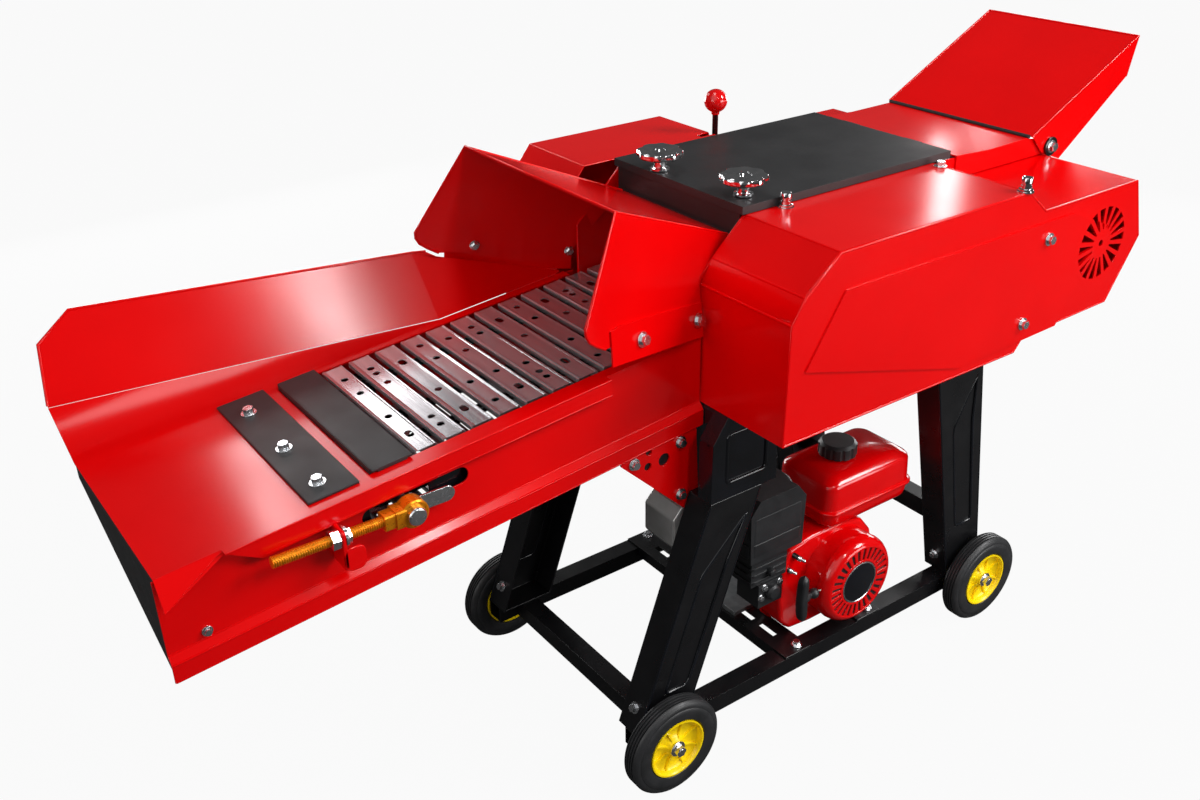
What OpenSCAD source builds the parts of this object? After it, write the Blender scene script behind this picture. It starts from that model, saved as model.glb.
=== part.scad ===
// Petrol chaff cutter with a slat conveyor, feed rollers and a cutter drum.
// +X runs with the crop from the feed trough to the chute, the engine's
// starter side faces -Y, +Z is up and the ground is z = 0. Millimetres.

/* [Wheels and frame] */
// Outside diameter of a wheel
wheel_d = 200; // [160:5:240]
// Width of a tyre
tyre_w = 42; // [30:1:50]
// Outside diameter of the plastic hub
hub_d = 122; // [100:1:130]
// Diameter of the axle rods
axle_d = 16; // [12:1:20]
// Distance between the front and the rear axle
wheelbase = 865; // [800:5:900]
// Front axle position along the machine
front_axle_x = -233; // [-260:1:-220]
// Outer face of a side rail, from the middle plane
rail_outer_y = 262; // [250:1:275]
// Width of the rail tube
rail_w = 40; // [36:1:46]
// Height of the rail tube
rail_h = 38; // [34:1:42]
// Wall of the frame tubes
tube_wall = 3; // [2:0.5:4]
// Height of the rail's top above the axle
rail_rise = 24; // [20:1:28]
// How far a rail runs past the axles
rail_over = 58; // [50:1:62]

/* [Legs] */
// Thickness of a leg across the machine
leg_w = 60; // [50:1:66]
// Width of a leg along the machine, at its foot
leg_foot = 117; // [100:1:125]
// How far the front legs lean back from foot to top
front_lean = 160; // [140:1:170]
// Height of the joint between a front leg and its block
block_bottom = 568; // [540:2:580]
// Length of the front leg's block
block_len = 152; // [140:1:160]
// Width of the top of a rear leg
rear_leg_top = 137; // [125:1:145]
// How far the rear legs lean forward from foot to top
rear_lean = 127; // [110:1:135]
// Underside of the covers and top of the legs
cover_bottom = 730; // [720:1:740]
// Sheet of the pressed legs
leg_sheet = 4; // [3:0.5:5]
// Depth of the pressed recess in a leg
leg_recess = 2; // [1:0.5:2.5]

/* [Feed trough] */
// Front edge of the trough's floor
trough_x = -1037; // [-1060:1:-1020]
// Height of the front edge of the floor
trough_z = 767; // [755:1:780]
// Slope of the trough, in degrees
slope = 5.6; // [5:0.1:6]
// Half width of the trough outside its walls
trough_y = 190; // [186:1:195]
// Depth of the trough's side wall
trough_depth = 166; // [160:1:175]
// Sheet of the red panels
sheet = 3; // [2:0.5:4]
// Length of the floor plate
floor_len = 329; // [320:1:330]
// Rear end of the trough walls
trough_end_x = -102; // [-106:1:-102]
// How far the lower lip of a wall stands out
lip_out = 11; // [8:1:13]
// Rise of the left wing's foot at the front
wing_rise = 70; // [55:1:80]
// How far the wing's foot stands out at the front
wing_out = 65; // [50:1:75]
// Lean of the wing away from the trough
wing_lean = 31; // [28:0.5:33]
// Height of the wing above the floor at the front
wing_top = 185; // [170:1:195]
// Length of the wing's foot
wing_len = 652; // [630:1:660]
// Height of the wing above the floor at the hood
wing_rear = 109; // [100:1:112]

/* [Conveyor] */
// Distance from a conveyor shaft to the top of the slats
conveyor_r = 58; // [54:1:60]
// Height of a slat
slat_h = 12; // [10:1:14]
// Length of a slat along the conveyor
slat_w = 30; // [24:1:31]
// Spacing of the slats
slat_pitch = 36; // [34:1:40]
// Half length of a slat across the machine
slat_y = 164; // [150:1:166]
// Thickness of the carrier chain
chain_t = 9; // [7:1:11]
// Position of the tension shaft along the trough
tension_s = 362; // [360:1:366]
// Position of the drive shaft along the trough
drive_s = 1390; // [1370:1:1400]
// Diameter of the conveyor and roller shafts
feed_shaft_d = 30; // [24:1:34]
// Diameter of the tensioner's threaded rod
rod_d = 14; // [10:1:16]
// Travel of the tensioner
tension_travel = 30; // [20:1:35]

/* [Feed hood] */
// Front edge of the hood's roof
hood_x = -298; // [-310:1:-285]
// Height of the hood's roof at the mouth
hood_z = 1122; // [1100:1:1135]
// Half width of the mouth at the roof
hood_y = 218; // [210:1:222]
// How far the mouth's foot stands forward of its roof
hood_reach = 83; // [70:1:90]
// Half width of the mouth at its foot
hood_foot_y = 262; // [250:1:268]
// Height of the mouth's foot
hood_foot_z = 955; // [940:1:970]

/* [Cutter housing] */
// Half width of the housing outside its side plates
housing_y = 176; // [172:1:177]
// Thickness of a side plate
plate_t = 6; // [5:1:8]
// Lowest edge of the side plates
housing_bottom = 640; // [630:1:650]
// Top of the side plates
housing_top = 1040; // [1036:1:1040]
// Front edge of the lid
lid_x = -9; // [-12:1:-6]
// Length of the lid
lid_len = 513; // [505:1:516]
// Half width of the lid
lid_y = 178; // [177:1:178]
// Top of the lid
lid_top = 1057; // [1056:1:1062]
// Depth of the lid's folded rim
lid_rim = 14; // [10:1:14]
// Diameter of the lobed knobs
knob_d = 86; // [70:1:92]
// Diameter of the hinge pins
pin_d = 8; // [6:1:9]

/* [Side covers] */
// Outer face of the covers, from the middle plane
cover_y = 394; // [380:1:405]
// Inner edge of the right cover, from the middle plane
right_cover_in = 177; // [177:1:182]
// Inner edge of the left cover, from the middle plane
left_cover_in = 206; // [200:1:210]
// Top of the covers
cover_top = 1042; // [1036:1:1048]
// Radius of the ring of slots
vent_r = 70; // [60:1:74]
// Number of slots in the ring
vent_n = 18; // [12:1:24]
// Height of the raised panel
panel_rise = 3; // [1:0.5:4]

/* [Cutter drum] */
// Main shaft position along the machine
drum_x = 697; // [692:1:700]
// Main shaft height
drum_z = 894; // [890:1:898]
// Radius swept by the blades
drum_r = 120; // [110:1:124]
// Half length of the drum
drum_y = 160; // [150:1:164]
// Diameter of the main shaft
main_shaft_d = 40; // [30:1:45]
// Number of blades
blade_n = 4; // [2:1:6]
// Gap between the drum's sweep and the tray
tray_gap = 6; // [4:1:10]
// Main pulley radius
main_pulley_r = 68; // [60:1:69]
// Engine pulley radius
engine_pulley_r = 45; // [38:1:50]
// Middle plane of the drive belt
belt_y = 285; // [280:1:290]
// Width of the drive belt
belt_w = 17; // [13:1:20]

/* [Feed rollers] */
// Feed roller position along the machine
roller_x = 470; // [466:1:474]
// Radius of a feed roller
roller_r = 40; // [36:1:41]
// Height of the lower roller's axis
roller_z = 868; // [866:1:870]
// Gap between the closed rollers
roller_gap = 5; // [3:1:8]
// How far the upper roller lifts
roller_lift = 20; // [10:1:20]

/* [Chute] */
// Pivot of the chute along the machine
chute_pivot_x = 797; // [794:1:800]
// Height of the chute's pivot
chute_pivot_z = 1014; // [1012:1:1016]
// Length of the chute's roof
chute_len = 342; // [320:1:360]
// Angle of the chute's roof, in degrees
chute_angle = 26.7; // [24:0.5:30]
// Half width of the chute outside
chute_y = 186; // [184:1:190]

/* [Engine] */
// Crankshaft position along the machine
crank_x = 264; // [255:1:270]
// Height of the crankshaft above the engine's feet
crank_h = 106; // [100:1:112]
// Face of the recoil starter, from the middle plane
recoil_y = 265; // [255:1:272]
// Diameter of the recoil starter
recoil_d = 190; // [175:1:196]
// Diameter of the output shaft
output_d = 25; // [20:1:28]
// Length of the fuel tank
tank_len = 232; // [215:1:240]
// Depth of the fuel tank across the machine
tank_w = 166; // [150:1:175]
// Underside of the fuel tank above the engine's feet
tank_base = 214; // [210:1:220]
// Height of the fuel tank
tank_h = 122; // [110:1:128]
// Thickness of the engine's mounting channels
mount_t = 4; // [3:0.5:6]

/* [Fits] */
// Radial running fit of shafts, pins and hubs
run_fit = 0.05; // [0.02:0.01:0.1]
// Gap between faces that pass each other
face_gap = 1; // [0.6:0.1:1.5]

/* [Hidden] */
$fn = 64;

RED = [0.86, 0.06, 0.05];
BLACK = [0.06, 0.06, 0.07];
STEEL = [0.66, 0.67, 0.69];
YELLOW = [0.97, 0.82, 0.05];

axle_z = wheel_d / 2;
rail_top = axle_z + rail_rise;
rail_inner_y = rail_outer_y - rail_w;
rear_axle_x = front_axle_x + wheelbase;
wheel_in = rail_outer_y + 4;
wheel_out = wheel_in + tyre_w;
leg_inner_y = rail_outer_y - leg_w;
front_foot_x = front_axle_x - leg_foot / 2;
front_top_x = front_foot_x + front_lean;
rear_foot_x = rear_axle_x - 80;
rear_top_x = rear_foot_x - rear_lean;
conveyor_n = 2 - conveyor_r;
chain_out = conveyor_r - slat_h;
chain_in = chain_out - chain_t;
sprocket_r = chain_in - 0.5;
// The idlers slide level while the chain slopes, so they need room inside the loop
idler_r = sprocket_r - tension_travel * sin(slope);
roller_top_z = roller_z + 2 * roller_r + roller_gap;
feet_z = rail_top + mount_t;
crank_z = feet_z + crank_h;
tank_z = feet_z + tank_base;
tray_r = drum_r + tray_gap;
gear_y = 210;
belt_groove = 9;

// Folded sheet and plate helpers
function unit(v) = v / norm(v);
function turned(v) = [-v[1], v[0]];
function side(p, i) = turned(unit(p[i + 1] - p[i]));
function corner(a, b) = (a + b) / (1 + a * b);
function shifted(p, t) = [for (i = [0:len(p) - 1])
    p[i] + t * (i == 0 ? side(p, 0)
        : i == len(p) - 1 ? side(p, i - 1)
        : corner(side(p, i - 1), side(p, i)))];
function reversed(p) = [for (i = [len(p) - 1:-1:0]) p[i]];
// Outline of a sheet of thickness t folded along the points p
function folded(p, t) = concat(p, reversed(shifted(p, t)));
// Closed outline p moved inward by t, p running counter-clockwise
function inset(p, t) = let (n = len(p)) [for (i = [0:n - 1])
    let (a = p[(i + n - 1) % n], b = p[i], c = p[(i + 1) % n])
    b + t * corner(turned(unit(b - a)), turned(unit(c - b)))];
function arc(c, r, a0, a1, n) = [for (i = [0:n]) c + r * [cos(a0 + (a1 - a0) * i / n), sin(a0 + (a1 - a0) * i / n)]];

// Profile in x and z, run from y0 to y1
module along_y(y0, y1) {
    translate([0, y1, 0]) rotate([90, 0, 0]) linear_extrude(y1 - y0) children();
}

// Profile in y and z, run from x0 to x1
module along_x(x0, x1) {
    translate([x0, 0, 0]) rotate([90, 0, 90]) linear_extrude(x1 - x0) children();
}

// Round bar across the machine
module bar_y(d, y0, y1, x, z) {
    translate([x, y0, z]) rotate([-90, 0, 0]) cylinder(d = d, h = y1 - y0);
}

// Round bar along the machine
module bar_x(d, x0, x1, y, z) {
    translate([x0, y, z]) rotate([0, 90, 0]) cylinder(d = d, h = x1 - x0);
}

module mirrored() {
    children();
    mirror([0, 1, 0]) children();
}

// Frame of the sloping trough: x along the floor, z square to it
module on_trough() {
    translate([trough_x, 0, trough_z]) rotate([0, -slope, 0]) children();
}

function trough_world(s, n) = [trough_x + s * cos(slope) - n * sin(slope),
    trough_z + s * sin(slope) + n * cos(slope)];

// Flat plate through points in space, thickened along its normal
module plate(points, t) {
    n = len(points);
    normal = unit(cross(points[1] - points[0], points[2] - points[0]));
    under = [for (p = points) p - t * normal];
    sides = [for (i = [0:n - 1]) [i, i + n, (i + 1) % n + n, (i + 1) % n]];
    polyhedron(concat(points, under),
        concat([[for (i = [n - 1:-1:0]) i]], [[for (i = [0:n - 1]) i + n]], reversed_faces(sides)));
}

function reversed_faces(faces) = [for (f = faces) reversed(f)];

// Flange bolt standing up from a face
module bolt(head = 13) {
    cylinder(d = head * 1.6, h = 2);
    translate([0, 0, 2]) cylinder(d = head * 1.1, h = head * 0.55, $fn = 6);
}

module bolt_right(x, y, z, head = 13) {
    translate([x, -y, z]) rotate([90, 0, 0]) bolt(head);
}

module bolt_left(x, y, z, head = 13) {
    translate([x, y, z]) rotate([-90, 0, 0]) bolt(head);
}

module bolt_up(x, y, z, head = 13) {
    translate([x, y, z]) bolt(head);
}

// Frame
rail_x0 = front_axle_x - rail_over;
rail_x1 = rear_axle_x + rail_over;
cross_x = front_axle_x - 14;
brace_z = 222;
brace_x = rear_foot_x + 13;

module rail() {
    difference() {
        along_x(rail_x0, rail_x1) translate([rail_inner_y, rail_top - rail_h]) square([rail_w, rail_h]);
        along_x(rail_x0 - 1, rail_x1 + 1) translate([rail_inner_y + tube_wall, rail_top - rail_h + tube_wall])
            square([rail_w - 2 * tube_wall, rail_h - 2 * tube_wall]);
        for (x = [front_axle_x, rear_axle_x])
            bar_y(axle_d + 2 * run_fit, rail_inner_y - 1, rail_outer_y + 1, x, axle_z);
    }
}

module right_rail() {
    color(BLACK) mirror([0, 1, 0]) rail();
}

module left_rail() {
    color(BLACK) rail();
}

module cross_tube(x, z, w, h, y) {
    along_y(-y, y) difference() {
        translate([x, z]) square([w, h]);
        translate([x + tube_wall, z + tube_wall]) square([w - 2 * tube_wall, h - 2 * tube_wall]);
    }
}

module cross_bars() {
    color(BLACK) {
        difference() {
            cross_tube(cross_x, rail_top - rail_h, rail_w, rail_h, rail_inner_y);
            bar_y(axle_d + 2 * face_gap, -rail_inner_y - 1, rail_inner_y + 1, front_axle_x, axle_z);
        }
        cross_tube(brace_x, brace_z, rail_w, rail_w, rail_outer_y - leg_sheet - 0.2);
    }
}

mount_w = 66;
front_mount_x = crank_x - 187;
rear_mount_x = crank_x + 13;
mount_lip = 22;

module engine_mount(x) {
    difference() {
        union() {
            translate([x, -rail_outer_y, rail_top]) cube([mount_w, 2 * rail_outer_y, mount_t]);
            for (dx = [0, mount_w - mount_t])
                translate([x + dx, face_gap - rail_inner_y, rail_top - mount_lip])
                    cube([mount_t, 2 * (rail_inner_y - face_gap), mount_lip]);
        }
        for (y = [-195, -130, 60, 150])
            translate([x + mount_w / 2 - 6, y, rail_top - 1]) cube([12, 44, mount_t + 2]);
    }
}

module engine_mounts() {
    color(BLACK) {
        engine_mount(front_mount_x);
        engine_mount(rear_mount_x);
    }
}

// Pressed channel leg, its outline in x and z and its recess outline
module leg(outline, recess) {
    difference() {
        along_y(leg_inner_y, rail_outer_y) polygon(outline);
        along_y(leg_inner_y - 1, rail_outer_y - leg_sheet) polygon(inset(outline, leg_sheet));
        along_y(rail_outer_y - leg_recess, rail_outer_y + 1) polygon(recess);
    }
}

// Point on a leg's side, u across it and v up it, both from 0 to 1
function leg_at(o, u, v) = let (low = o[0] + u * (o[1] - o[0]), high = o[3] + u * (o[2] - o[3])) low + v * (high - low);

front_leg_outline = [[front_foot_x, rail_top], [front_foot_x + leg_foot, rail_top],
    [front_top_x + leg_foot, block_bottom], [front_top_x, block_bottom]];
rear_leg_outline = [[rear_foot_x, rail_top], [rear_foot_x + leg_foot - 15, rail_top],
    [rear_top_x + rear_leg_top, cover_bottom], [rear_top_x, cover_bottom]];

function leg_recess_outline(o, low, knee, high) = [leg_at(o, 0.3, low), leg_at(o, 0.78, low),
    leg_at(o, 0.78, knee), leg_at(o, 0.88, high), leg_at(o, 0.3, knee)];

module front_leg() {
    leg(front_leg_outline, leg_recess_outline(front_leg_outline, 0.16, 0.68, 0.9));
}

module rear_leg() {
    leg(rear_leg_outline, leg_recess_outline(rear_leg_outline, 0.2, 0.62, 0.8));
}

module front_right_leg() {
    color(BLACK) mirror([0, 1, 0]) front_leg();
}

module front_left_leg() {
    color(BLACK) front_leg();
}

module rear_right_leg() {
    color(BLACK) mirror([0, 1, 0]) rear_leg();
}

module rear_left_leg() {
    color(BLACK) rear_leg();
}

gusset_y = trough_y + lip_out - sheet;
gusset_t = 4;
block_x = front_top_x - 1;

block_step = 32;
block_face_y = rail_outer_y - 36;
front_block_outline = [[block_x, block_bottom], [block_x + block_len, block_bottom],
    [block_x + block_len - 4, cover_bottom], [block_x + 34, cover_bottom], [block_x + 2, cover_bottom - 46]];
inner_block_outline = [[block_x + block_step, block_bottom], [block_x + block_len, block_bottom],
    [block_x + block_len - 4, cover_bottom], [block_x + block_step + 4, cover_bottom],
    [block_x + block_step, cover_bottom - 6]];
block_panel = [[block_x + 36, block_bottom + 32], [block_x + block_len - 26, block_bottom + 32],
    [block_x + block_len - 28, cover_bottom - 36], [block_x + 34, cover_bottom - 36]];

// Pressed box between a front leg, the side plate and the cover, open toward the side plate
module leg_block() {
    difference() {
        union() {
            along_y(block_face_y, rail_outer_y) polygon(front_block_outline);
            along_y(housing_y, block_face_y + 1) polygon(inner_block_outline);
        }
        along_y(housing_y - 1, rail_outer_y - leg_sheet) polygon(inset(inner_block_outline, leg_sheet));
        along_y(rail_outer_y - leg_recess, rail_outer_y + 1) polygon(block_panel);
    }
}

module rear_bracket() {
    translate([rear_top_x + 12, housing_y, cover_bottom - 46])
        cube([rear_leg_top - 24, leg_inner_y - housing_y, 46]);
}

module leg_blocks() {
    color(BLACK) mirrored() {
        leg_block();
        rear_bracket();
    }
}

gusset_x = trough_end_x;

gusset_top = trough_world(765, -trough_depth + 22)[1];
gusset_bolts = [[gusset_x - 48, block_bottom + 104], [gusset_x - 148, block_bottom + 95], [gusset_x - 46, block_bottom - 2]];

module gusset_plate() {
    along_y(gusset_y - gusset_t, gusset_y) difference() {
        polygon([[gusset_x - 30, block_bottom - 42], [gusset_x - 4, block_bottom - 38], [gusset_x - 14, gusset_top + 16],
            [gusset_x - 174, gusset_top], [gusset_x - 174, block_bottom + 98]]);
        translate([gusset_x - 83, block_bottom + 81]) circle(d = 24);
        translate([gusset_x - 116, block_bottom + 107]) circle(d = 13);
        translate([gusset_x - 118, block_bottom + 79]) circle(d = 15);
    }
}

module gusset_plates() {
    color(RED) mirrored() gusset_plate();
}

axle_nut_t = 10;
axle_end_y = wheel_out + 4;

module axles() {
    color(STEEL) for (x = [front_axle_x, rear_axle_x]) bar_y(axle_d, -axle_end_y, axle_end_y, x, axle_z);
}

// Wheels
hub_dish = 12;
hub_boss_d = 40;
tread_groove = 2;

module tyre(x) {
    translate([x, wheel_in, axle_z]) rotate([-90, 0, 0]) difference() {
        rotate_extrude() polygon(concat([[hub_d / 2, 0], [wheel_d / 2 - 10, 0]],
            arc([wheel_d / 2 - 10, 10], 10, -90, 0, 6),
            arc([wheel_d / 2 - 10, tyre_w - 10], 10, 0, 90, 6),
            [[hub_d / 2, tyre_w]]));
        for (i = [1:4]) translate([0, 0, tyre_w * i / 5 - 1]) difference() {
            cylinder(d = wheel_d + 2, h = 2);
            translate([0, 0, -1]) cylinder(d = wheel_d - 2 * tread_groove, h = 4);
        }
    }
}

// Hub with a rim, a dished web with ribs and a bored boss
module hub(x) {
    rim = 7;
    translate([x, wheel_in, axle_z]) rotate([-90, 0, 0]) difference() {
        union() {
            difference() {
                cylinder(d = hub_d, h = tyre_w);
                translate([0, 0, tyre_w - hub_dish]) cylinder(d = hub_d - 2 * rim, h = tyre_w);
                translate([0, 0, -1]) cylinder(d = hub_d - 2 * rim, h = hub_dish + 1);
            }
            cylinder(d = hub_boss_d, h = tyre_w - 4);
            for (i = [0:7]) rotate(45 * i) translate([0, -2, hub_dish])
                cube([hub_d / 2 - rim / 2, 4, tyre_w - hub_dish - 5]);
        }
        translate([0, 0, -1]) cylinder(d = axle_d + 2 * run_fit, h = tyre_w + 2);
    }
}

module front_right_tyre() {
    color(BLACK) mirror([0, 1, 0]) tyre(front_axle_x);
}

module front_left_tyre() {
    color(BLACK) tyre(front_axle_x);
}

module rear_right_tyre() {
    color(BLACK) mirror([0, 1, 0]) tyre(rear_axle_x);
}

module rear_left_tyre() {
    color(BLACK) tyre(rear_axle_x);
}

module front_right_hub() {
    color(YELLOW) mirror([0, 1, 0]) hub(front_axle_x);
}

module front_left_hub() {
    color(YELLOW) hub(front_axle_x);
}

module rear_right_hub() {
    color(YELLOW) mirror([0, 1, 0]) hub(rear_axle_x);
}

module rear_left_hub() {
    color(YELLOW) hub(rear_axle_x);
}

// Cutter housing
housing_front = trough_end_x + 1;
plate_outline = [[housing_front, housing_bottom], [rear_top_x + 160, housing_bottom], [drum_x, drum_z - tray_r - 14],
    [drum_x + 95, drum_z - 108], [drum_x + tray_r + 8, drum_z], [drum_x + tray_r, drum_z + 92],
    [drum_x + 44, housing_top - 9], [lid_x + lid_len - 4, housing_top], [lid_x + 6, housing_top],
    [housing_front, housing_top - 90]];
drive_at = trough_world(drive_s, conveyor_n);

module housing_plate(side_sign) {
    difference() {
        along_y(housing_y - plate_t, housing_y) polygon(plate_outline);
        bar_y(main_shaft_d + 4, housing_y - plate_t - 1, housing_y + 1, drum_x, drum_z);
        bar_y(feed_shaft_d + 2 * run_fit, housing_y - plate_t - 1, housing_y + 1, drive_at[0], drive_at[1]);
        bar_y(feed_shaft_d + 2 * run_fit, housing_y - plate_t - 1, housing_y + 1, roller_x, roller_z);
        translate([roller_x - feed_shaft_d / 2 - face_gap, housing_y - plate_t - 1, roller_top_z - feed_shaft_d / 2 - face_gap])
            cube([feed_shaft_d + 2 * face_gap, plate_t + 2, housing_top]);
    }
}

module housing_right_plate() {
    color(RED) mirror([0, 1, 0]) housing_plate();
}

module housing_left_plate() {
    color(RED) housing_plate();
}

tray_in_y = housing_y - plate_t - 0.3;
knobs = [[lid_x + 40, -134], [lid_x + 19, 66]];
stud_d = 12;
boss_z = housing_top - 44;

// Curved tray under the drum, the fixed blade's bed and the bar that takes the knobs
module housing_tray() {
    bed_x = roller_x + roller_r + 6;
    bed_z = roller_z + roller_r - 3;
    color(RED) {
        along_y(-tray_in_y, tray_in_y)
            polygon(folded(concat([[bed_x, bed_z - 8], [drum_x - tray_r - 1, bed_z - 8]],
                arc([drum_x, drum_z], tray_r, 186, 385, 18)), -sheet));
        translate([drum_x - tray_r - 40, -tray_in_y, bed_z - 8.2]) cube([36, 2 * tray_in_y, 8]);
        difference() {
            translate([lid_x + 7.5, -tray_in_y, boss_z]) cube([46, 2 * tray_in_y, 12]);
            for (k = knobs) translate([k[0], k[1], boss_z - 1]) cylinder(d = stud_d + 6, h = 14);
        }
    }
}

// Lid with a folded rim, an apron and its hinge knuckles
hinge_x = lid_x + lid_len + 6;
hinge_z = lid_top - 10;
knuckle_d = pin_d + 8;
knuckle_y = 100;
knuckle_len = 40;
lid_knuckles = [-knuckle_y, knuckle_y - knuckle_len];
base_knuckles = [for (y = lid_knuckles) y + knuckle_len + face_gap / 2];

module knuckle(y) {
    bar_y(knuckle_d, y, y + knuckle_len, hinge_x, hinge_z);
}

module pin_hole() {
    bar_y(pin_d + 2 * run_fit, -200, 200, hinge_x, hinge_z);
}

module lid() {
    x1 = lid_x + lid_len;
    rim_z = lid_top - lid_rim;
    color(BLACK) difference() {
        union() {
            difference() {
                translate([lid_x, -lid_y, rim_z]) cube([lid_len, 2 * lid_y, lid_rim]);
                translate([lid_x + sheet, sheet - lid_y, rim_z - 1])
                    cube([lid_len - 2 * sheet, 2 * (lid_y - sheet), lid_rim + 1 - sheet]);
            }
            translate([lid_x + 2, 1 - tray_in_y, housing_top - 46])
                cube([sheet, 2 * (tray_in_y - 1), lid_top - housing_top + 46 - sheet]);
            for (y = lid_knuckles) {
                knuckle(y);
                translate([x1 - 1, y, hinge_z - 3]) cube([7, knuckle_len, 6]);
            }
        }
        pin_hole();
        for (y = base_knuckles)
            bar_y(knuckle_d + 2 * face_gap, y - face_gap / 2, y + knuckle_len + face_gap / 2, hinge_x, hinge_z);
        for (k = knobs) translate([k[0], k[1], rim_z - 1]) cylinder(d = stud_d + 2 * run_fit, h = lid_rim + 2);
    }
}

// Lobed clamping knob with its stud
module lid_knob(at) {
    lobes = 8;
    translate([at[0], at[1], lid_top + 0.4]) {
        difference() {
            union() {
                cylinder(d = 30, h = 6);
                translate([0, 0, 6]) cylinder(d = 22, h = 16);
                translate([0, 0, 22]) cylinder(d1 = 40, d2 = knob_d, h = 8);
                translate([0, 0, 30]) cylinder(d = knob_d, h = 12);
            }
            for (i = [0:lobes - 1]) rotate(360 / lobes * i) translate([knob_d / 2 + 5, 0, 14]) cylinder(d = 18, h = 40);
            translate([0, 0, 38]) cylinder(d = knob_d * 0.55, h = 10);
        }
        translate([0, 0, boss_z - lid_top]) cylinder(d = stud_d, h = lid_top - boss_z + 1);
    }
}

module lid_knob_right() {
    color(STEEL) lid_knob(knobs[0]);
}

module lid_knob_left() {
    color(STEEL) lid_knob(knobs[1]);
}

// Pins of the lid, the chute and the gear lever
module hinge_pins() {
    for (y = lid_knuckles)
        bar_y(pin_d, y - 8, y + 2 * knuckle_len + 8, hinge_x, hinge_z);
    mirrored() {
        bar_y(pin_d, base_in - 3, chute_y + 4, chute_pivot_x, chute_pivot_z);
        bar_y(20, base_out + 0.2, chute_y - sheet - 0.2, chute_pivot_x, chute_pivot_z);
        bar_y(24, chute_y + 0.3, chute_y + 4, chute_pivot_x, chute_pivot_z);
    }
    bar_y(12, housing_y, lever_y + 9, lever_x, lever_pivot_z);
    bar_y(22, lever_y + 8.5, lever_y + 12, lever_x, lever_pivot_z);
}

// Side covers
right_outline = [[housing_front + 1, cover_bottom + 1], [rear_top_x + 53, cover_bottom + 1], [drum_x - 197, 757],
    [drum_x + 50, 762], [drum_x + 125, drum_z - 12], [drum_x + 87, 998], [drum_x - 187, 998],
    [drum_x - 241, cover_top], [lid_x + 9, cover_top], [lid_x - 61, cover_top - 59], [lid_x - 87, cover_top - 99]];
left_outline = [[lid_x - 122, cover_bottom + 1], [drum_x - 219, cover_bottom + 1], [drum_x - 197, 757],
    [drum_x + 50, 762], [drum_x + 125, drum_z - 12], [drum_x + 87, 976], [drum_x - 400, 976],
    [drum_x - 430, cover_top + 3], [lid_x - 49, cover_top + 3], [lid_x - 99, cover_top - 59], [lid_x - 117, cover_top - 99]];

function panel_outline() = [[lid_x - 53, 856], [drum_x - 380, 749], [drum_x - 108, 756], [drum_x + 10, 928],
    [drum_x - 101, 976], [lid_x + 25, 976]];

module vent_slots(y0, y1) {
    for (i = [0:vent_n - 1]) along_y(y0, y1) translate([drum_x, drum_z]) rotate(360 / vent_n * i)
        polygon([[vent_r * 0.42, -1.5], [vent_r, -vent_r * 0.11], [vent_r, vent_r * 0.11], [vent_r * 0.42, 1.5]]);
}

module right_cover() {
    color(RED) mirror([0, 1, 0]) difference() {
        union() {
            along_y(right_cover_in, cover_y) polygon(right_outline);
            along_y(cover_y - 1, cover_y + panel_rise) polygon(panel_outline());
        }
        along_y(right_cover_in - 1, cover_y - sheet) polygon(inset(right_outline, sheet));
        vent_slots(cover_y - sheet - 1, cover_y + panel_rise + 1);
        bar_y(12, cover_y - sheet - 1, cover_y + panel_rise + 1, drum_x, drum_z);
    }
}

lever_x = 276;
lever_y = 226;
lever_pivot_z = cover_top - 130;
lever_d = 12;
lever_swing = 10;
ball_d = 46;

module left_cover() {
    opening_x = crank_x + 150;
    color(RED) difference() {
        union() {
            along_y(left_cover_in, cover_y) polygon(left_outline);
            translate([lid_x - 90, housing_y + 0.2, cover_bottom + 1]) cube([300, left_cover_in - housing_y, sheet]);
            translate([drum_x - 140, housing_y + 0.2, 976 - sheet]) cube([120, left_cover_in - housing_y, sheet]);
        }
        along_y(left_cover_in - 0.01, cover_y - sheet) polygon(inset(left_outline, sheet));
        translate([opening_x, left_cover_in - 1, cover_bottom - 10])
            cube([drum_x + 40 - opening_x, cover_y - left_cover_in - sheet + 1, 60]);
        translate([lever_x - 42, lever_y - lever_d / 2 - 2, cover_top - 70]) cube([84, lever_d + 4, 90]);
    }
}

module gear_lever() {
    ball_z = cover_top + 66;
    color(RED) {
        difference() {
            bar_y(30, lever_y - 8, lever_y + 8, lever_x, lever_pivot_z);
            bar_y(12 + 2 * run_fit, lever_y - 9, lever_y + 9, lever_x, lever_pivot_z);
        }
        translate([lever_x, lever_y, lever_pivot_z + 13]) cylinder(d = lever_d, h = ball_z - lever_pivot_z - 13);
        translate([lever_x, lever_y, ball_z]) sphere(d = ball_d);
    }
}

// Discharge base and chute
base_in = housing_y + 0.3;
base_out = base_in + sheet;
base_path = [[hinge_x + 12, housing_top + 1], [drum_x - 80, housing_top - 4], [drum_x + 37, housing_top - 3]];

module discharge_base() {
    color(RED) difference() {
        union() {
            along_y(-base_out, base_out) polygon(folded(base_path, sheet));
            mirrored() along_y(base_in, base_out) polygon([[hinge_x + 12, 1000], [chute_pivot_x + 18, 1000],
                [chute_pivot_x + 18, chute_pivot_z + 12], [drum_x + 37, housing_top - 1], [drum_x - 80, housing_top - 2],
                [hinge_x + 12, housing_top + 2]]);
            for (y = base_knuckles) {
                knuckle(y);
                translate([hinge_x, y, housing_top + 1]) cube([14, knuckle_len, 4]);
            }
        }
        pin_hole();
        bar_y(pin_d + 2 * run_fit, -200, 200, chute_pivot_x, chute_pivot_z);
    }
}

chute_foot = [drum_x + 41, housing_top + 4];
chute_tip = chute_foot + chute_len * [cos(chute_angle), sin(chute_angle)];

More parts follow.
